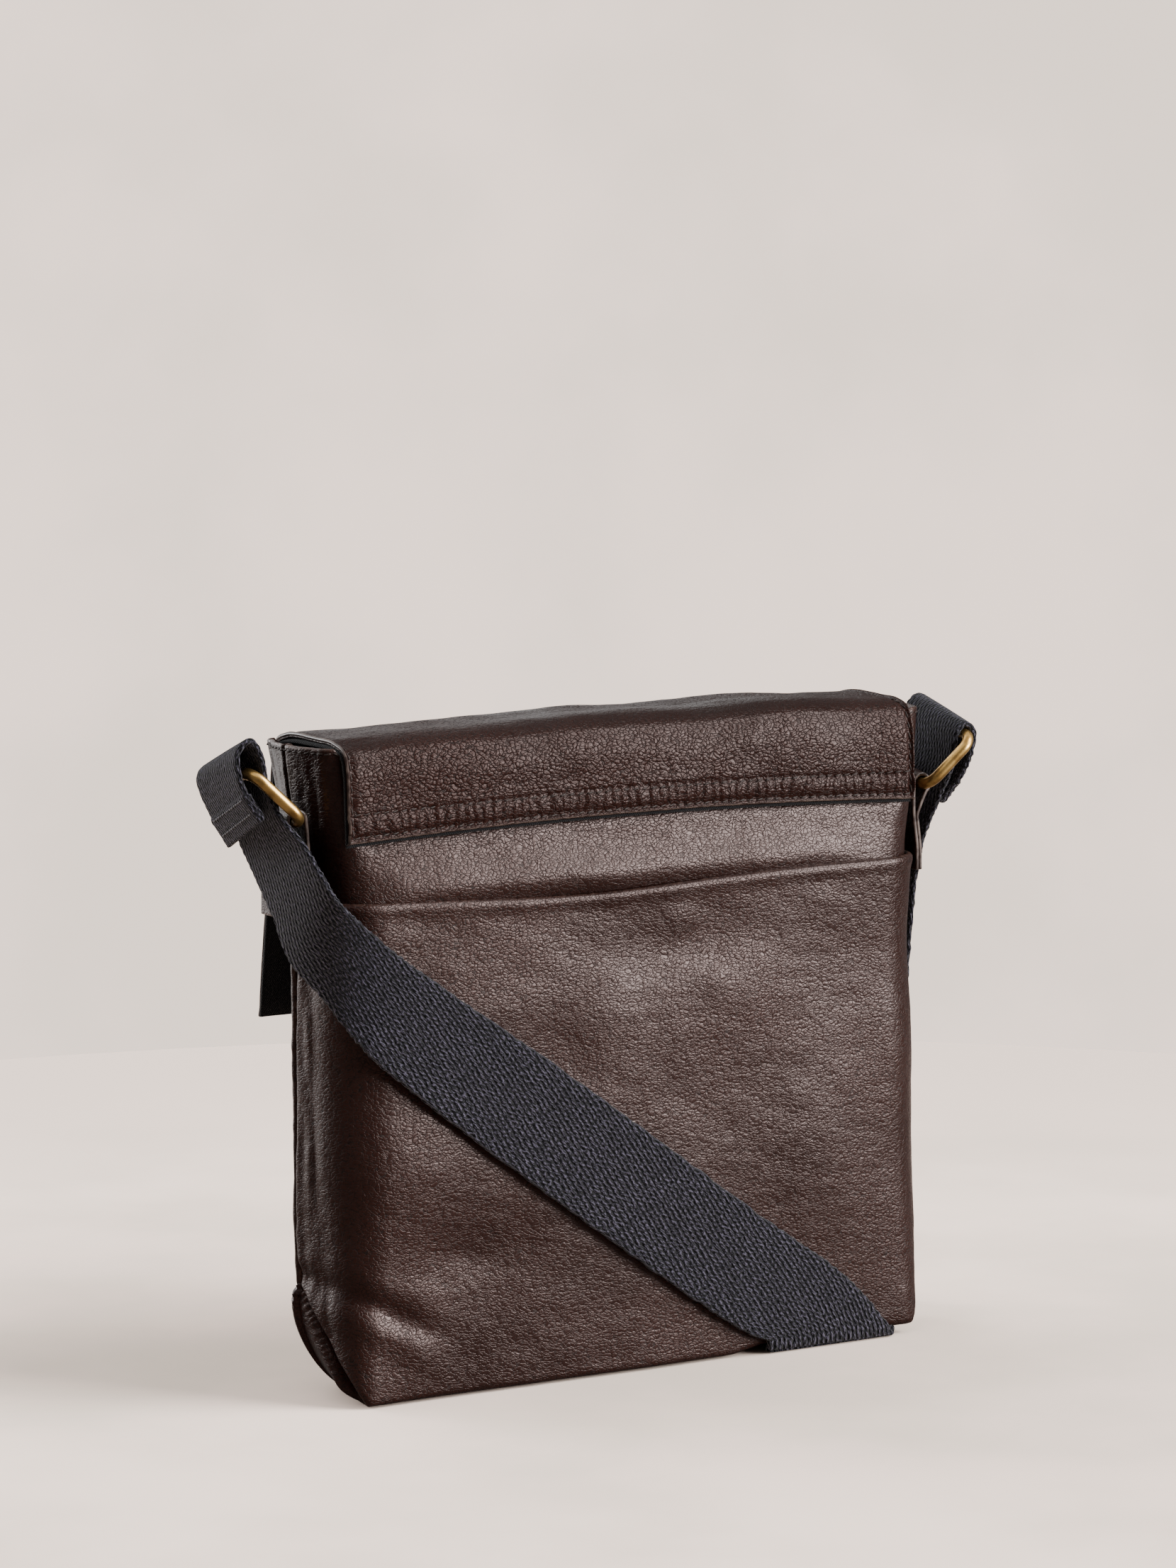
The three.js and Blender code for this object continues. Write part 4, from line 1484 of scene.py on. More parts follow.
@dataclass(frozen=True)
class Columns:
    """Upright lines of a wall, from the left seam to the right one."""

    end: Array
    stretch: Array
    share: Array

    @classmethod
    def make(cls, flat: int = 52, corner: int = 12, gusset: int = 26) -> Columns:
        """Lines of both halves of a wall.

        Args:
            flat: Steps on half of the flat.
            corner: Steps on a corner.
            gusset: Steps on a gusset.

        Returns:
            The lines, with share rising outwards from 0 to 1 within each stretch.
        """
        counts = (
            (Stretch.FLAT, flat, False),
            (Stretch.CORNER, corner, False),
            (Stretch.GUSSET, gusset, True),
        )
        share = np.concatenate([np.linspace(0, 1, n + 1)[: n + last] for _, n, last in counts])
        kind = np.concatenate([np.full(n + last, stretch.value) for stretch, n, last in counts])
        left = np.full(len(share) - 1, End.LEFT.value)
        right = np.full(len(share), End.RIGHT.value)
        return cls(
            np.concatenate([left, right]),
            np.concatenate([kind[:0:-1], kind]),
            np.concatenate([share[:0:-1], share]),
        )

    @property
    def on_gusset(self) -> Array:
        """Which lines lie on a gusset."""
        return self.stretch == Stretch.GUSSET.value


@dataclass
class Wall:
    """One leather wall, which wraps round both corners to the side seams.

    Attributes:
        node: Solid that it stands for.
        side: Face of the bag.
        table: Its plan sections.
        strap: Strap that runs under it.
        growth: How much larger than the table it is all round.
        thickness: Thickness of the leather.
        seam_gap: Distance of its edge from the middle plane at the side seam.
    """

    node: str
    side: Side
    table: SectionTable
    strap: Strap
    growth: float = 0.0
    thickness: float = 2.0
    seam_gap: float = 0.2
    foot: float = 0.5
    leaf_height: float = 41.0
    rise_power: float = 1.95
    rim_height: float = 243.0
    rim_dip: float = 3.9
    rim_dip_half_width: float = 125.2
    rim_dip_fade: float = 1.4
    lower_roll: float = 2.6
    upper_roll: float = 0.6
    seam_roll: float = 1.8
    rim_bulge: float = 0.5
    hem: float = 2.5
    close_rows: float = 8.0
    rows: int = 120
    gusset_skew: float = 0.2
    fine: Ripple = Ripple(0.09, 12.0, 0, tall=1.3)
    finer: Ripple = Ripple(0.05, 5.5, 1, tall=1.6)
    swells: Ripple = Ripple(0.55, 34.0, 3, tall=1.2)
    swells_end: Pair = (180, 200)
    folds: Ripple = Ripple(0.28, 8.0, 2, wide=2.4, tall=0.55)
    puckers: Ripple = Ripple(0.12, 3.4, 4, wide=0.6)
    pucker_width: float = 6.0
    columns: Columns = field(default_factory=Columns.make)

    def plan(self, z: Array) -> tuple[Array, Array]:
        """Plan place of each upright line at heights z.

        A line on the flat lies at its share of the corner's x. On the corner it goes round a
        quarter circle. On the gusset it goes straight back to the middle plane while x rises with
        the sine of its share, by the tuck and the seam's stand-out.

        Args:
            z: Heights, with one column for each line.

        Returns:
            x, and the distance out from the middle plane.
        """
        end, share = self.columns.end, self.columns.share
        read = partial(self.table.read, z=z)
        side = np.where(end < 0, read("left"), read("right")) + self.growth
        tuck = np.where(end < 0, read("tuck_left"), read("tuck_right"))
        corner, depth = read("corner") + self.growth, read("depth") + self.growth
        turn = share * np.pi / 2
        kinds = [
            np.broadcast_to(self.columns.stretch == stretch.value, z.shape)
            for stretch in (Stretch.FLAT, Stretch.CORNER)
        ]
        x = np.select(
            kinds,
            [(side - tuck - corner) * share, side - tuck - corner + corner * np.sin(turn)],
            side - tuck + (tuck + read("seam")) * np.sin(turn),
        )
        out = np.select(
            kinds,
            [depth, depth - corner + corner * np.cos(turn)],
            (depth - corner) * (1 - share) + self.seam_gap * share,
        )
        return end * x, out

    def rise(self, out: Array) -> Array:
        """Height of the lower edge round the corner and up the side, less steep near the seam.

        It is the leaf's height times one minus a power of the share of the depth that is left.

        Args:
            out: Distance from the middle plane at the floor.

        Returns:
            The height for each distance.
        """
        left = np.clip(out / (self.table.depth[0] + self.growth), 0, 1)
        return self.leaf_height * (1 - left**self.rise_power)

    def lower_edge(self) -> Array:
        """Height of the lower edge: on the floor or the strap, then up the side to the seam.

        Returns:
            The height of each upright line's foot.
        """
        x, out = (plan[0] for plan in self.plan(np.zeros((1, len(self.columns.end)))))
        lift = self.strap.lift_at(x, self.side.value * out)
        return np.maximum(self.rise(out), np.maximum(lift, self.foot))

    def upper_edge(self, x: Array) -> Array:
        """Height of the rim, which dips a little under the flap."""
        outside = self.rim_dip_half_width + self.rim_dip_fade
        share = smoothstep(np.abs(x), self.rim_dip_half_width, outside)
        return self.rim_height - self.rim_dip * (1 - share)

    def bulge(self, x: Array, z: Array) -> Array:
        """How far the wall's soft forms stand out of its plan."""
        return np.zeros_like(x)

    def wrinkles(self, x: Array, y: Array, z: Array) -> Array:
        """Fine unevenness of the leather, with folds and puckers on the gussets.

        Args:
            x: Places along x.
            y: Places along y.
            z: Places along z.

        Returns:
            Height out of the face at each place.
        """
        seed = BACK_SEED if self.side is Side.BACK else FRONT_SEED
        around = np.where(self.columns.on_gusset, x * self.gusset_skew + y, x)
        fine = self.fine.at(around, z, seed) + self.finer.at(around, z, seed)
        below = 1 - smoothstep(z, *self.swells_end)
        fine = fine + self.swells.at(around, z, seed) * below
        puckers = hump(y, 0, self.pucker_width) * self.puckers.at(y, z, seed)
        return fine + np.where(self.columns.on_gusset, self.folds.at(y, z, seed) + puckers, 0.0)

    def face(self) -> Array:
        """Outer face: the plan at each height, moved out by bulges, wrinkles and rolls.

        Bulges go square to the middle plane, wrinkles and rolls along the normals. The lower edge,
        the rim and the seam edges turn in by a quarter circle.

        Returns:
            Grid of points, rows going up, with its normal outwards.
        """
        low = self.lower_edge()
        top_x, _ = self.plan(np.full((1, len(low)), self.rim_height))
        z = spread_rows(low, self.upper_edge(top_x[0]), self.close_rows, self.rows)
        x, out = self.plan(z)
        bulge = np.where(self.columns.on_gusset, 0, self.bulge(x, z))
        grid = np.stack([x, self.side.value * (out + bulge), z], -1)
        flip = slice(None) if self.side is Side.BACK else slice(None, None, -1)
        normals = grid_normals(grid[:, flip])[:, flip]
        seam = np.where(self.columns.on_gusset, np.abs(grid[..., 1]) - self.seam_gap, np.inf)
        steps = np.hypot(np.gradient(x[0]), np.gradient(out[0]))
        level = steps / np.hypot(steps, np.gradient(low))
        height = self.wrinkles(x, grid[..., 1], z)
        height = height - rounded_edge((z - low) * level, self.lower_roll)
        height = height - rounded_edge(seam, self.seam_roll)
        height = height - rounded_edge(z[-1:] - z, self.upper_roll)
        return (grid + normals * height[..., None])[:, flip]

    def hem_seam(self, face: Array) -> Seam:
        """Stitches a little below the rim.

        Args:
            face: The outer face.

        Returns:
            The seam.
        """
        run = lengths(face[::-1], 0)[::-1]
        row = int(np.argmin(np.abs(run[:, 0] - self.hem)))
        return Seam(face[row], grid_normals(face)[row])

    def build(self, finishes: Finishes) -> Array:
        """Builds the wall.

        Args:
            finishes: Materials of the bag.

        Returns:
            Its outer face.
        """
        face = self.face()
        loops = skin(face, self.thickness, self.rim_bulge)
        piece = loops.object(self.node + "_leather", [finishes.leather])
        dress(piece, Slot.LEATHER, self.node)
        return face


@dataclass
class BackWall(Wall):
    """The back wall, which gives room to the slip pocket and is pressed in by the flap's edge."""

    pocket_height: float = 186.5
    room: float = 3.2
    room_sides: Pair = (72.0, 108.0)
    room_rise: Pair = (80.0, 120.0)
    room_top: Pair = (-10.0, 4.0)
    crease: float = 0.3
    crease_ends: Pair = (108, 124)
    crease_band: Pair = (197, 9)
    crease_slope: float = 0.12
    crease_stray: Ripple = Ripple(1.5, 9.0, 7)
    crease_pitch: float = 4.2
    swell: float = 2.4
    swell_more: tuple[Hump, ...] = (Hump(0.9, -45, 50), Hump(-0.8, 95, 30))
    swell_noise: Ripple = Ripple(0.5, 34.0, 5, tall=0.4)
    swell_band: Pair = (189, 10)
    swell_ends: Pair = (100, 120)
    flap_edge: float = 208.5
    flap_arch: float = 3.5
    flap_half_width: float = 124.8
    groove: Triple = (1.3, 0.2, 2.0)
    groove_ends: Pair = (117, 123)

    def bulge(self, x: Array, z: Array) -> Array:
        """The dents of the back, less the pocket's room.

        Args:
            x: Places along x.
            z: Places along z.

        Returns:
            How far the wall stands out of its plan.
        """
        aside = smoothstep(np.abs(x), *self.room_sides)
        under = smoothstep(z, *self.room_rise)
        over = smoothstep(z, *(self.pocket_height + height for height in self.room_top))
        dents = np.where(z < self.pocket_height, dents_at(BACK_DENTS, x, z), 0.0)
        return dents - self.room * (1 - aside) * under * (1 - over)

    def wrinkles(self, x: Array, y: Array, z: Array) -> Array:
        """Adds creases at the left corner, a swell above the pocket and the groove at the flap.

        The creases are a sine of the height. The swell is a bell curve of the height, and the
        groove is one about an arch that falls with the square of x.

        Args:
            x: Places along x.
            y: Places along y.
            z: Places along z.

        Returns:
            Height out of the face at each place.
        """
        place = smoothstep(-x, *self.crease_ends) * hump(z, *self.crease_band)
        phase = z + self.crease_slope * x + self.crease_stray.at(x, z)
        creases = self.crease * place * np.sin(2 * np.pi * phase / self.crease_pitch)
        size = sum((more.at(x) for more in self.swell_more), self.swell)
        size = size + self.swell_noise.at(x, z)
        swell = hump(z, *self.swell_band) * size * (1 - smoothstep(np.abs(x), *self.swell_ends))
        depth, above, width = self.groove
        edge = self.flap_edge + self.flap_arch * (1 - (x / self.flap_half_width) ** 2)
        groove = depth * hump(z, edge + above, width)
        groove = groove * (1 - smoothstep(np.abs(x), *self.groove_ends))
        flat = np.where(self.columns.on_gusset, 0, swell - groove)
        return super().wrinkles(x, y, z) + creases + flat


@dataclass
class Pocket(Wall):
    """The slip pocket: a second layer over the lower back, with a rolled upper edge."""

    growth: float = 2.6
    height: float = 186.5
    sag: float = 3.6
    sag_at: float = -25.0
    sag_spread: float = 70.0
    upper_roll: float = 1.5
    edge_bead: float = 0.7
    bead_below: float = 2.2
    bead_width: float = 2.6
    fold_start: Pair = (-128.0, 44.0)
    fold_slope: float = 0.5
    fold_ends: Pair = (80, 112)
    fold: tuple[Hump, ...] = (Hump(1.3, -10.0, 6.0), Hump(-1.5, 0.0, 4.5), Hump(0.5, 9.0, 7.0))

    def upper_edge(self, x: Array) -> Array:
        """Height of the rolled edge, which sags left of the middle."""
        return self.height - self.sag * hump(x, self.sag_at, self.sag_spread)

    def bulge(self, x: Array, z: Array) -> Array:
        """The dents of the back."""
        return dents_at(BACK_DENTS, x, z)

    def wrinkles(self, x: Array, y: Array, z: Array) -> Array:
        """Adds the fold across the lower left corner and the rolled edge's bead, as bell curves.

        Args:
            x: Places along x.
            y: Places along y.
            z: Places along z.

        Returns:
            Height out of the face at each place.
        """
        start_x, start_z = self.fold_start
        above = z - (start_z - self.fold_slope * (x - start_x))
        fold = smoothstep(-x, *self.fold_ends) * sum(part.at(above) for part in self.fold)
        bead = self.edge_bead * hump(z, self.upper_edge(x) - self.bead_below, self.bead_width)
        return super().wrinkles(x, y, z) + fold + bead


# The base


@dataclass
class Base:
    """The base: flat on the floor, with an end leaf turned up behind the walls' lower edges."""

    back: Wall
    front: Wall
    strap: Strap
    thickness: float = 2.0
    rim_bulge: float = 0.4
    inset: float = 4.5
    overlap: float = 3.0
    overlap_rise: Pair = (0.5, 8.0)
    bulge: float = 16.5
    bulge_rise: Pair = (0.03, 0.35)
    swell_left: float = 6.0
    swell_right: float = 8.0
    fold_inset: float = 6.0
    lip_drop: Pair = (3.0, 0.3)
    lip_way: Pair = (0.86, 0.51)
    gather: float = 0.6
    gather_pitch: float = 2.7
    gather_stray: Ripple = Ripple(1.6, 5.0, 31)
    gather_down: Pair = (0.62, 0.9)
    gather_rise: Pair = (0.04, 0.2)
    corner_steps: int = 26
    gusset_steps: int = 70
    floor_steps: int = 14
    leaf_steps: int = 60
    floor_edges: Pair = (-26.6, 27.2)
    corner_cut: float = 142.0
    cut_fade: Pair = (3.0, 6.0)
    floor_gap: float = 0.05

    def leaf_top(self, wall: Wall, end: End) -> Array:
        """Upper edge of a leaf along one wall: inside the wall, and a little above its lower edge.

        Args:
            wall: The wall beside it.
            end: End of the bag.

        Returns:
            Points from the wall's flat to the side seam.
        """
        steps = [self.corner_steps, self.gusset_steps]
        on_corner = np.linspace(0, 1, self.corner_steps, endpoint=False)
        share = np.concatenate([on_corner, np.linspace(0, 1, self.gusset_steps)])
        kind = np.repeat([Stretch.CORNER.value, Stretch.GUSSET.value], steps)
        columns = Columns(np.full(len(share), end.value), kind, share)
        inside = replace(wall, growth=-self.inset, columns=columns)
        edge = inside.lower_edge()
        x, out = inside.plan(edge[None])
        height = edge + self.overlap * smoothstep(edge, *self.overlap_rise)
        return np.stack([x[0], wall.side.value * out[0], height], -1)

    def fold_line(self, end: End, y: Array) -> Array:
        """Where a leaf meets the floor: a straight line in plan, inside both walls.

        Args:
            end: End of the bag.
            y: Places along y.

        Returns:
            Distance from the middle of the bag at each place.
        """
        name = end.name.lower()
        back, front = self.back.table, self.front.table
        back_x = getattr(back, name)[0]
        front_x = getattr(front, name)[0] - getattr(front, "tuck_" + name)[0]
        low, high = -back.depth[0], front.depth[0]
        return back_x + (front_x - back_x) * (y - low) / (high - low) - self.fold_inset

    def leaf(self, end: End) -> Array:
        """One leaf, as rows from the back corner over the seam to the front corner.

        Each row is a cubic curve with four control points: behind the wall's lip, outside it, on
        the floor under the swell, and on the floor at the fold. Gathers run down from the upper
        edge, square to the lip.

        Args:
            end: End of the bag.

        Returns:
            Grid of points, each row from the upper edge to the fold.
        """
        back, front = self.leaf_top(self.back, end), self.leaf_top(self.front, end)
        top = np.concatenate([back, front[-2::-1]])
        x, y, z = top[:, :1], top[:, 1:2], top[:, 2:]
        fold = np.minimum(self.fold_line(end, y), np.abs(x) - self.fold_inset / 2) * end.value
        swell = self.swell_left if end is End.LEFT else self.swell_right
        up = z / self.back.leaf_height
        out = x + end.value * self.bulge * smoothstep(up, *self.bulge_rise)
        bend = (x + fold) / 2 + end.value * swell * up
        drop, least = self.lip_drop
        t = np.linspace(0, 1, self.leaf_steps + 1)[None, :]
        weights = ((1 - t) ** 3, 3 * t * (1 - t) ** 2, 3 * t * t * (1 - t), t**3)
        points_x = weights[0] * x + weights[1] * out + weights[2] * bend + weights[3] * fold
        points_z = weights[0] * z + weights[1] * np.maximum(z - drop, least)
        lip_z, lip_y = self.lip_way
        along_lip = lip_z * points_z - lip_y * np.abs(y)
        stray = self.gather_stray.at(along_lip, y + 0 * t)
        waves = np.sin(2 * np.pi * along_lip / self.gather_pitch + stray)
        fade = smoothstep(1 - t, *self.gather_down) * smoothstep(up, *self.gather_rise)
        points_x = points_x + end.value * self.gather * waves * fade
        points_y = np.repeat(y, t.shape[1], 1)
        lift = self.strap.lift_at(points_x, points_y)
        return np.stack([points_x, points_y, np.maximum(points_z, lift)], -1)

    def build(self, finishes: Finishes) -> None:
        """Builds both leaves and the floor between them as one sheet.

        The floor's corner over the strap's fold is cut off along a diagonal, where x minus y is
        constant.

        Args:
            finishes: Materials of the bag.
        """
        left, right = self.leaf(End.LEFT), self.leaf(End.RIGHT)[:, ::-1]
        share = np.linspace(0, 1, self.floor_steps + 1)[None, 1:-1, None]
        between = left[:, -1:] * (1 - share) + right[:, :1] * share
        between[..., 2] = self.strap.lift_at(between[..., 0], between[..., 1])
        grid = np.concatenate([left, between, right], 1)
        edges = [grid[:1].copy(), grid[-1:].copy()]
        for edge, y in zip(edges, self.floor_edges):
            edge[..., 1] = y
            edge[..., 2] = self.strap.lift_at(edge[..., 0], edge[..., 1])
        grid = np.concatenate([edges[0], grid, edges[1]])[:, ::-1]
        over = np.maximum(grid[..., 0] - grid[..., 1] - self.corner_cut, 0.0)
        grid[..., 0] -= over * (1 - smoothstep(grid[..., 2], *self.cut_fade))
        grid[..., 2] = np.maximum(grid[..., 2], self.floor_gap)
        loops = skin(grid, self.thickness, self.rim_bulge)
        dress(loops.object("base_leather", [finishes.leather]), Slot.LEATHER, "base_panel")


# The flap


@dataclass(frozen=True)
class FlapStation:
    """One place on the flap's run: its side edge, and how much of the middle's rise it takes."""

    y: float
    z: float
    crown: float
    arch: float


FLAP_RUN = (
    FlapStation(-29.9, 208.5, 0, 1),
    FlapStation(-29.2, 222, 0.1, 0.3),
    FlapStation(-28.3, 235, 0.4, 0),
    FlapStation(-25.7, 241.4, 0.8, 0),
    FlapStation(-18, 244.4, 1, 0),
    FlapStation(0, 245, 1, 0),
    FlapStation(17, 244.4, 1, 0),
    FlapStation(25.6, 241.2, 0.8, 0),
    FlapStation(28.6, 234, 0.4, 0),
    FlapStation(31, 212, 0, 0),
    FlapStation(35.2, 180, 0, 0),
    FlapStation(41.5, 137, 0, 0),
)


@dataclass
class Flap:
    """The flap, its black lining and its stitching."""

    half_width: float = 124.8
    leather: float = 1.6
    rim_bulge: float = 0.35
    lining_from: float = 1.75
    lining_to: float = 3.05
    lining_proud: float = 1.0
    # How far the black lining juts past the leather's back edge, as a painted shadow line.
    lining_bulge: float = 0.3
    lining_steps: tuple[int, int] = (2, 3)
    crown: float = 3.4
    crown_at: float = 35.0
    arch: float = 3.5
    rows_at: Pair = (2.3, 9.6)
    side_row_at: float = 2.2
    stitch_pitch: float = 4.0
    stitch_thread: float = 0.29
    stitch_dip: float = 0.65
    stitch_width: float = 1.1
    stitch_beat: float = 0.25
    painted: float = 1.1
    uneven: tuple[Ripple, ...] = (
        Ripple(0.25, 17.0, 41, tall=1.2),
        Ripple(0.1, 7.0, 42, tall=1.3),
    )
    waves: Ripple = Ripple(0.7, 44.0, 43, tall=0.7)
    waves_from: Pair = (8, 24)
    pucker: float = 0.3
    pucker_swell: float = 0.35
    pucker_width: float = 3.4
    pucker_stray: Ripple = Ripple(1.6, 9.0, 45)
    lip: tuple[Hump, ...] = (Hump(0.5, 0.6, 0.6), Hump(-0.3, 1.5, 0.5))
    lip_roll: float = 0.5
    hem_steps: int = 27
    steps_per_station: int = 12
    steps_across: int = 240
    side_columns: tuple[float, ...] = (0, 0.5, 1.0, 1.6, 2.2, 2.8, 3.5, 4.4, 5.4)
    inner_columns: Pair = (0.03, 0.97)
    run: tuple[FlapStation, ...] = FLAP_RUN

    def base_face(self) -> Array:
        """The run carried across the width, raised in the middle by a crown and an arch.

        Both fall with the square of the distance from their highest place.

        Returns:
            Grid of points, rows from the back edge to the front edge.
        """
        count = len(self.run) - 1
        hem = np.linspace(0, 1, self.hem_steps + 1)[:-1]
        at = np.concatenate([hem, np.linspace(1, count, (count - 1) * self.steps_per_station)])
        path = through_points(np.array([(s.y, s.z) for s in self.run], float), at, True)
        share = through_points(np.array([(s.crown, s.arch) for s in self.run], float), at, True)
        edge = np.array(self.side_columns) / (2 * self.half_width)
        inner = np.linspace(*self.inner_columns, self.steps_across)
        across = np.concatenate([edge, inner, 1 - edge[::-1]]) * 2 - 1
        x = across * self.half_width
        crown = 1 - ((x - self.crown_at) / (self.half_width + self.crown_at)) ** 2
        z = path[:, 1:] + self.crown * crown * share[:, :1]
        z = z + self.arch * (1 - across**2) * share[:, 1:]
        return np.stack([np.broadcast_to(x, z.shape), np.broadcast_to(path[:, :1], z.shape), z], -1)

    def relief(self, grid: Array) -> Array:
        """Unevenness of the flap: soft noise, dips along the stitch rows and puckers between them.

        Args:
            grid: The even face.

        Returns:
            Height out of the face at each point.
        """
        along, across = lengths(grid, 0), lengths(grid, 1)
        x = grid[..., 0]
        side = np.minimum(across, across[:, -1:] - across)
        soft = sum(part.at(x, along) for part in self.uneven)
        soft = soft + self.waves.at(x, along) * smoothstep(along, *self.waves_from)
        rows = [hump(along, distance, self.stitch_width) for distance in self.rows_at]
        rows.append(hump(along[-1:] - along, self.rows_at[0], self.stitch_width))
        rows.append(hump(side, self.side_row_at, self.stitch_width))
        beat = np.cos(2 * np.pi * across / self.stitch_pitch)
        beat = 1 - self.stitch_beat + self.stitch_beat * beat
        between = hump(along, sum(self.rows_at) / 2, self.pucker_width)
        phase = x + self.pucker_stray.at(x, along)
        puckers = self.pucker * between * np.sin(2 * np.pi * phase / self.stitch_pitch)
        puckers = puckers + self.pucker_swell * between
        edge = np.minimum(side, np.minimum(along, along[-1:] - along))
        lip = sum(part.at(edge) for part in self.lip) - rounded_edge(edge, self.lip_roll)
        return soft + puckers - self.stitch_dip * beat * np.maximum.reduce(rows) + lip

    def seams(self, face: Array) -> list[Seam]:
        """Two stitch rows by the back edge, one by the front edge and one down each side.

        Args:
            face: The leather's face.

        Returns:
            The seams.
        """
        normals = grid_normals(face)
        along = lengths(face, 0)[:, face.shape[1] // 2]
        across = lengths(face, 1)[face.shape[0] // 2]
        rows = (along > self.rows_at[0]) & (along < along[-1] - self.rows_at[0])
        columns = (across > self.side_row_at) & (across < across[-1] - self.side_row_at)
        lines = [
            (int(np.argmin(np.abs(along - distance))), columns)
            for distance in (*self.rows_at, along[-1] - self.rows_at[0])
        ]
        lines += [
            (rows, int(np.argmin(np.abs(across - distance))))
            for distance in (self.side_row_at, across[-1] - self.side_row_at)
        ]
        return [Seam(face[at], normals[at], self.stitch_pitch, self.stitch_thread) for at in lines]

    def build(self, finishes: Finishes) -> None:
        """Builds the leather with painted edges, the lining below it and the stitches.

        Args:
            finishes: Materials of the bag.
        """
        even = self.base_face()
        normals = grid_normals(even)
        face = even + normals * self.relief(even)[..., None]
        loops = skin(face, self.leather, self.rim_bulge)
        loops.on_rim[...] |= loops.edge < self.painted
        piece = loops.object("flap_leather_sheet", [finishes.flap_leather, finishes.edge])
        dress(piece, Slot.LEATHER, "flap")
        row_step, column_step = self.lining_steps
        under = (even - normals * self.lining_from)[::row_step, ::column_step]
        # Painted shadow: the black lining's back edge juts out below the leather's lower edge as a
        # dark line where the flap's edge casts its shadow.
        under[0] += unit(under[0] - under[1]) * self.lining_proud
        loops = skin(under, self.lining_to - self.lining_from, self.lining_bulge)
        lining = loops.object("flap_black_lining", [finishes.lining])
        dress(lining, Slot.LINING, "flap_lining")
        piece.name
        dress(stitch_object("flap_stitches", self.seams(face), finishes.thread), Slot.LEATHER)


# Rings and tabs


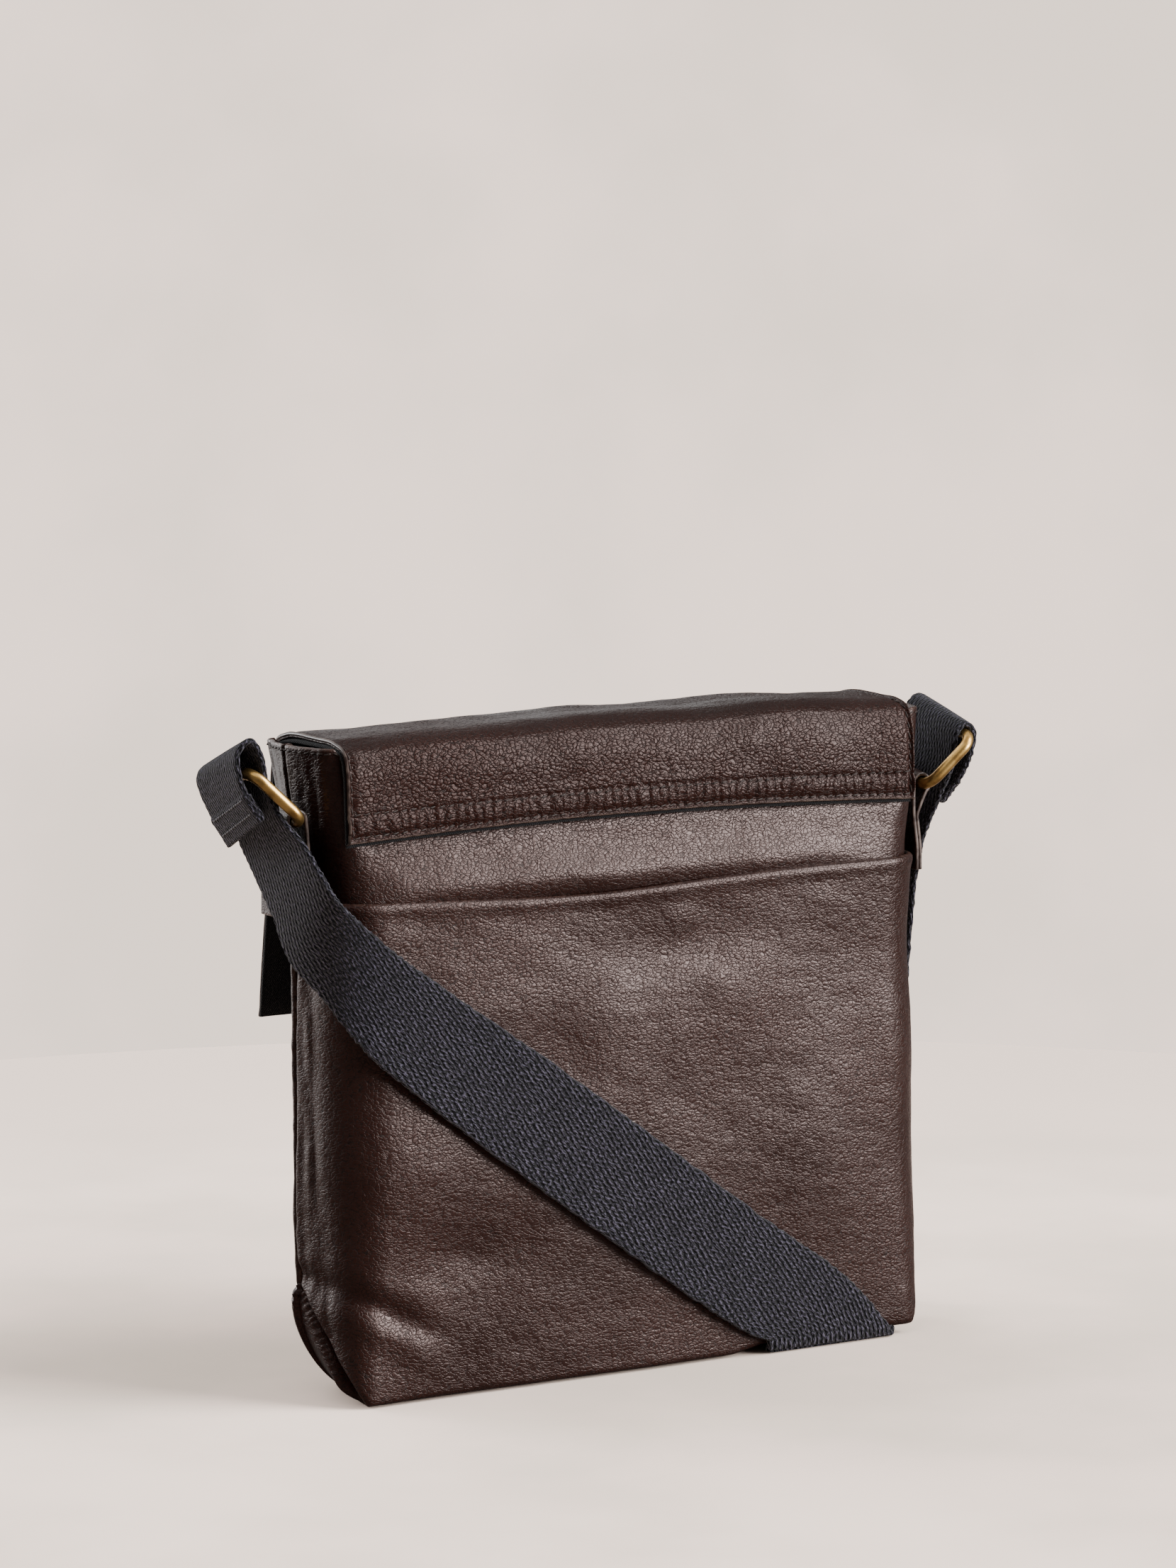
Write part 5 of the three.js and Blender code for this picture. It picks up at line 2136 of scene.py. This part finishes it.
@dataclass
class Fitting:
    """A brass ring and the leather tab that holds it on the side seam."""

    end: End
    out: float
    height: float
    slope: float
    swing: float
    front: Wall
    wire: float = 2.2
    width: float = 44.4
    rise: float = 26.0
    corner: float = 6.0
    lean: float = math.pi / 4
    corner_steps: int = 15
    wire_steps: int = 28
    tab_width: float = 35.0
    tab_layer: float = 1.35
    tab_foot: float = 179.0
    tab_flat: float = 6.0
    tab_shoulder: float = 9.0
    tab_bore: float = 3.05
    tab_clearance: float = 0.8
    tab_outer: float = 1.55
    tab_step: float = 3.5
    loop_turns: Pair = (0.86, -0.3)
    tab_rim: float = 0.4
    rim_bulge: float = 0.35
    strip_steps: int = 14
    loop_steps: int = 26
    path_steps: int = 150
    tab_columns: int = 41
    stitch_rows: tuple[int, int] = (34, 6)
    stitch_inset: int = 3
    stitch_pitch: float = 3.0

    @property
    def name(self) -> str:
        """The end's name, as the solids have it."""
        return self.end.name.lower()

    def ring_loops(self) -> Loops:
        """A circle of the wire's radius carried round a rectangle with round corners.

        Returns:
            The loops of the ring.
        """
        steps, half = self.corner_steps, self.width / 2 - self.corner
        turns = np.concatenate([np.linspace(k / 2, (k + 1) / 2, steps) for k in range(4)]) * np.pi
        place_x = np.repeat([half, -half, -half, half], steps)
        place_y = np.repeat([self.rise - self.corner] * 2 + [self.corner] * 2, steps)
        around = np.linspace(0, 2 * np.pi, self.wire_steps, endpoint=False)
        reach = self.corner + self.wire * np.cos(around)[None]
        x = place_x[:, None] + reach * np.cos(turns)[:, None]
        y = place_y[:, None] + reach * np.sin(turns)[:, None]
        height = np.broadcast_to(self.wire * np.sin(around)[None], x.shape)
        bars = unit(np.array([self.end.value * self.swing, 1.0, self.slope]))
        rising = np.array([self.end.value * math.cos(self.lean), 0.0, math.sin(self.lean)])
        rising = unit(rising - bars * (rising @ bars))
        facing = np.cross(bars, rising)
        points = x[..., None] * bars + y[..., None] * rising + height[..., None] * facing
        points = points + np.array([self.end.value * self.out, 0.0, self.height])
        zeros = np.zeros(x.shape)
        return Loops(points[:, ::-1], np.stack([zeros, zeros], -1), zeros, zeros.astype(bool))

    def tab_path(self) -> tuple[Array, Array]:
        """Middle line of the folded tab: up the seam, round the ring's bar and down again.

        Returns:
            Distance out from the middle of the bag, and height.
        """
        read = partial(self.front.table.read, z=np.array([self.height]))
        inner = read(self.name)[0] + read("seam")[0] + self.tab_clearance
        first, second = inner + self.tab_layer / 2, inner + self.tab_layer * self.tab_outer
        radius = self.tab_bore + self.tab_layer / 2
        start, stop = self.loop_turns
        turn = np.linspace(start * np.pi, stop * np.pi, self.loop_steps)
        loop = np.stack([self.out + radius * np.cos(turn), self.height + radius * np.sin(turn)], -1)
        neck, steps = self.height - self.tab_shoulder, self.strip_steps
        up = np.stack([np.full(steps, first), np.linspace(self.tab_foot, neck, steps)], -1)
        fall = np.linspace(neck - self.tab_step, self.tab_foot, steps)
        points = np.concatenate([up, loop, np.stack([np.full(steps, second), fall], -1)])
        path = through_points(points, np.linspace(0, len(points) - 1, self.path_steps), True)
        return path[:, 0], path[:, 1]

    def tab_face(self) -> Array:
        """The tab's outer face: its path carried along y, following the ring's bar at the loop.

        Returns:
            Grid of points, rows along the path, with its normal outwards.
        """
        out, level = self.tab_path()
        half = self.tab_width / 2 - self.tab_rim
        y = np.linspace(-half, half, self.tab_columns)
        flat, neck = self.tab_foot + self.tab_flat, self.height - self.tab_shoulder
        follow = smoothstep(level, flat, neck)[:, None]
        x = self.end.value * (out[:, None] + follow * self.swing * y)
        z = level[:, None] + follow * self.slope * y
        middle = np.stack([x, np.broadcast_to(y, x.shape), z], -1)
        if self.end is End.LEFT:
            middle = middle[:, ::-1]
        return middle + grid_normals(middle) * self.tab_layer / 2

    def build(self, finishes: Finishes) -> None:
        """Builds the ring, the tab with painted edges and the tab's stitches.

        Args:
            finishes: Materials of the bag.
        """
        ring = self.ring_loops().object("brass_ring_" + self.name, [finishes.brass], joined=True)
        dress(ring, Slot.BRASS, "ring_" + self.name)
        face = self.tab_face()
        loops = skin(face, self.tab_layer, self.rim_bulge)
        tab = loops.object("leather_tab_" + self.name, [finishes.leather, finishes.edge])
        dress(tab, Slot.LEATHER, "tab_" + self.name)
        normals = grid_normals(face)
        first, last = (face.shape[0] - 1 - rows for rows in self.stitch_rows)
        rows = np.arange(first, last + 1)
        across = np.arange(self.stitch_inset, face.shape[1] - self.stitch_inset)
        lines = ((last, across), (rows, across[0]), (rows, across[-1]))
        seams = [Seam(face[line], normals[line], self.stitch_pitch) for line in lines]
        dress(stitch_object("tab_stitches_" + self.name, seams, finishes.thread), Slot.LEATHER)


# The studio


@dataclass(frozen=True)
class Sun:
    """An even soft light from one direction.

    Attributes:
        name: Name of the light.
        towards: Direction from the bag to the light.
        spread: Width of the light in the sky, in degrees.
        strength: Its strength in watts per square metre.
    """

    name: str
    towards: Triple
    spread: float
    strength: float

    def hang(self) -> None:
        """Puts the light in the scene."""
        data = bpy.data.lights.new(self.name, "SUN")
        data.energy = self.strength
        data.angle = math.radians(self.spread)
        lamp = bpy.data.objects.new(self.name, data)
        lamp.rotation_euler = (-Vector(self.towards)).to_track_quat("-Z", "Y").to_euler()
        bpy.context.scene.collection.objects.link(lamp)


@dataclass(frozen=True)
class Panel:
    """A soft rectangular light that faces the bag and isn't seen itself.

    Attributes:
        name: Name of the light.
        place: Where it hangs, in metres.
        size: Its width and height, in metres.
        power: Its power in watts.
        aim: What it faces, in metres.
    """

    name: str
    place: Triple
    size: Pair
    power: float
    aim: Triple = (0.0, 0.0, 0.12)

    def hang(self) -> None:
        """Puts the light in the scene."""
        data = bpy.data.lights.new(self.name, "AREA")
        data.shape = "RECTANGLE"
        data.size, data.size_y = self.size
        data.energy = self.power
        lamp = bpy.data.objects.new(self.name, data)
        lamp.location = self.place
        way = Vector(self.aim) - Vector(self.place)
        lamp.rotation_euler = way.to_track_quat("-Z", "Y").to_euler()
        lamp.visible_camera = False
        bpy.context.scene.collection.objects.link(lamp)


@dataclass(frozen=True)
class Studio:
    """Camera, lights and floor."""

    image_height: int = 2212
    focal_pixels: float = 8000.0
    sensor_height: float = 24.0
    clip_end: float = 100.0
    eye: Triple = (-1124.1, -1802.6, 476.6)
    yaw: float = 31.84
    pitch: float = 6.9
    roll: float = -0.22
    floor_radius: float = 0.74
    floor_first_ring: float = 0.1
    floor_rings: int = 12
    floor_sides: int = 96
    floor_drop: float = 0.0003
    horizon: Colour = (2.0, 1.62, 1.4, 1.0)
    horizon_cloud: Colour = (1.72, 1.43, 1.23, 1.0)
    horizon_scale: float = 16.0
    horizon_range: Pair = (0.35, 0.65)
    ambient: Colour = (0.2, 0.19, 0.185, 1.0)
    lights: tuple[Sun | Panel, ...] = (
        Sun("key", (0.62, -0.5, 0.66), 34.0, 5.3),
        Sun("top", (-0.15, 0.1, 1.0), 90.0, 1.9),
        Sun("fill", (-0.5, 0.8, 0.42), 80.0, 2.4),
        Panel("panel", (1.75, -1.95, 0.62), (1.3, 0.85), 155.0),
        Panel("front", (-1.25, 2.1, 0.85), (1.0, 0.7), 42.0),
        Panel("back", (-0.3, 2.6, 0.3), (4.6, 1.8), 22.0),
    )

    def camera(self) -> None:
        """Places the camera where the photograph was taken from."""
        data = bpy.data.cameras.new("camera")
        data.sensor_fit = "VERTICAL"
        data.sensor_height = self.sensor_height
        data.sensor_width = self.sensor_height
        data.lens = self.focal_pixels / self.image_height * self.sensor_height
        data.clip_end = self.clip_end
        yaw, pitch, roll = (math.radians(angle) for angle in (self.yaw, self.pitch, self.roll))
        ahead = math.cos(pitch)
        forward = Vector((math.sin(yaw) * ahead, math.cos(yaw) * ahead, -math.sin(pitch)))
        level = Vector((math.cos(yaw), -math.sin(yaw), 0.0))
        upright = level.cross(forward)
        right = level * math.cos(roll) + upright * math.sin(roll)
        up = right.cross(forward)
        turn = Matrix((right, up, -forward)).transposed().to_4x4()
        camera = bpy.data.objects.new("camera", data)
        camera.matrix_world = Matrix.Translation(Vector(self.eye) * MM) @ turn
        bpy.context.scene.collection.objects.link(camera)
        bpy.context.scene.camera = camera

    def floor(self) -> None:
        """Lays a round floor: rings about the middle of the bag."""
        rings = np.linspace(self.floor_first_ring, self.floor_radius, self.floor_rings)
        radii = np.concatenate([[0.0], rings])
        turns = np.linspace(0, 2 * np.pi, self.floor_sides, endpoint=False)
        x, y = radii[:, None] * np.cos(turns), radii[:, None] * np.sin(turns)
        points = np.stack([x, y, np.full_like(x, -self.floor_drop)], -1)
        index = np.arange(points[..., 0].size).reshape(x.shape)
        near, far = index[:-1], index[1:]
        quads = np.stack([near, far, np.roll(far, -1, 1), np.roll(near, -1, 1)], -1).reshape(-1, 4)
        mesh = bpy.data.meshes.new("floor")
        mesh.from_pydata(points.reshape(-1, 3).tolist(), [], quads.tolist())
        mesh.materials.append(PlasterFinish("pale_plaster").material())
        finished_object("floor", mesh)

    def surroundings(self) -> None:
        """Lights the bag evenly from all round, and shows the horizon as pale as the floor."""
        world = bpy.data.worlds.new("studio")
        world.use_nodes = True
        kit = NodeKit(world.node_tree)
        seen = kit.add("ShaderNodeLightPath").outputs["Is Camera Ray"]
        way = kit.add("ShaderNodeTexCoord").outputs["Generated"]
        clouds = kit.remap(kit.noise(way, self.horizon_scale, 6.0), *self.horizon_range)
        pale = kit.blend(clouds, self.horizon, self.horizon_cloud)
        background = world.node_tree.nodes["Background"]
        kit.fill(background, {"Color": kit.blend(seen, self.ambient, pale)})
        bpy.context.scene.world = world

    def build(self) -> None:
        """Sets up the camera, the floor and the light."""
        self.camera()
        self.floor()
        self.surroundings()
        for light in self.lights:
            light.hang()


def main() -> None:
    """Builds the bag from its parts, in order."""
    logging.basicConfig(level=logging.INFO, format="%(name)s %(message)s")
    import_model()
    Studio().build()
    finishes = Finishes.make()
    strap = Strap()
    back = BackWall("back_panel", Side.BACK, BACK_TABLE, strap)
    front = Wall("front_panel", Side.FRONT, FRONT_TABLE, strap)
    pocket = Pocket("back_pocket", Side.BACK, BACK_TABLE, strap)
    strap.build(finishes)
    hems = [wall.hem_seam(wall.build(finishes)) for wall in (back, front)]
    dress(stitch_object("rim_stitches", hems, finishes.thread), Slot.LEATHER)
    pocket.build(finishes)
    Base(back, front, strap).build(finishes)
    Flap().build(finishes)
    fittings = (
        Fitting(End.LEFT, out=138.2, height=214.6, slope=-0.14, swing=-0.06, front=front),
        Fitting(End.RIGHT, out=138.6, height=214.6, slope=0.14, swing=0.1, front=front),
    )
    for fitting in fittings:
        fitting.build(finishes)


if __name__ == "__main__":
    main()
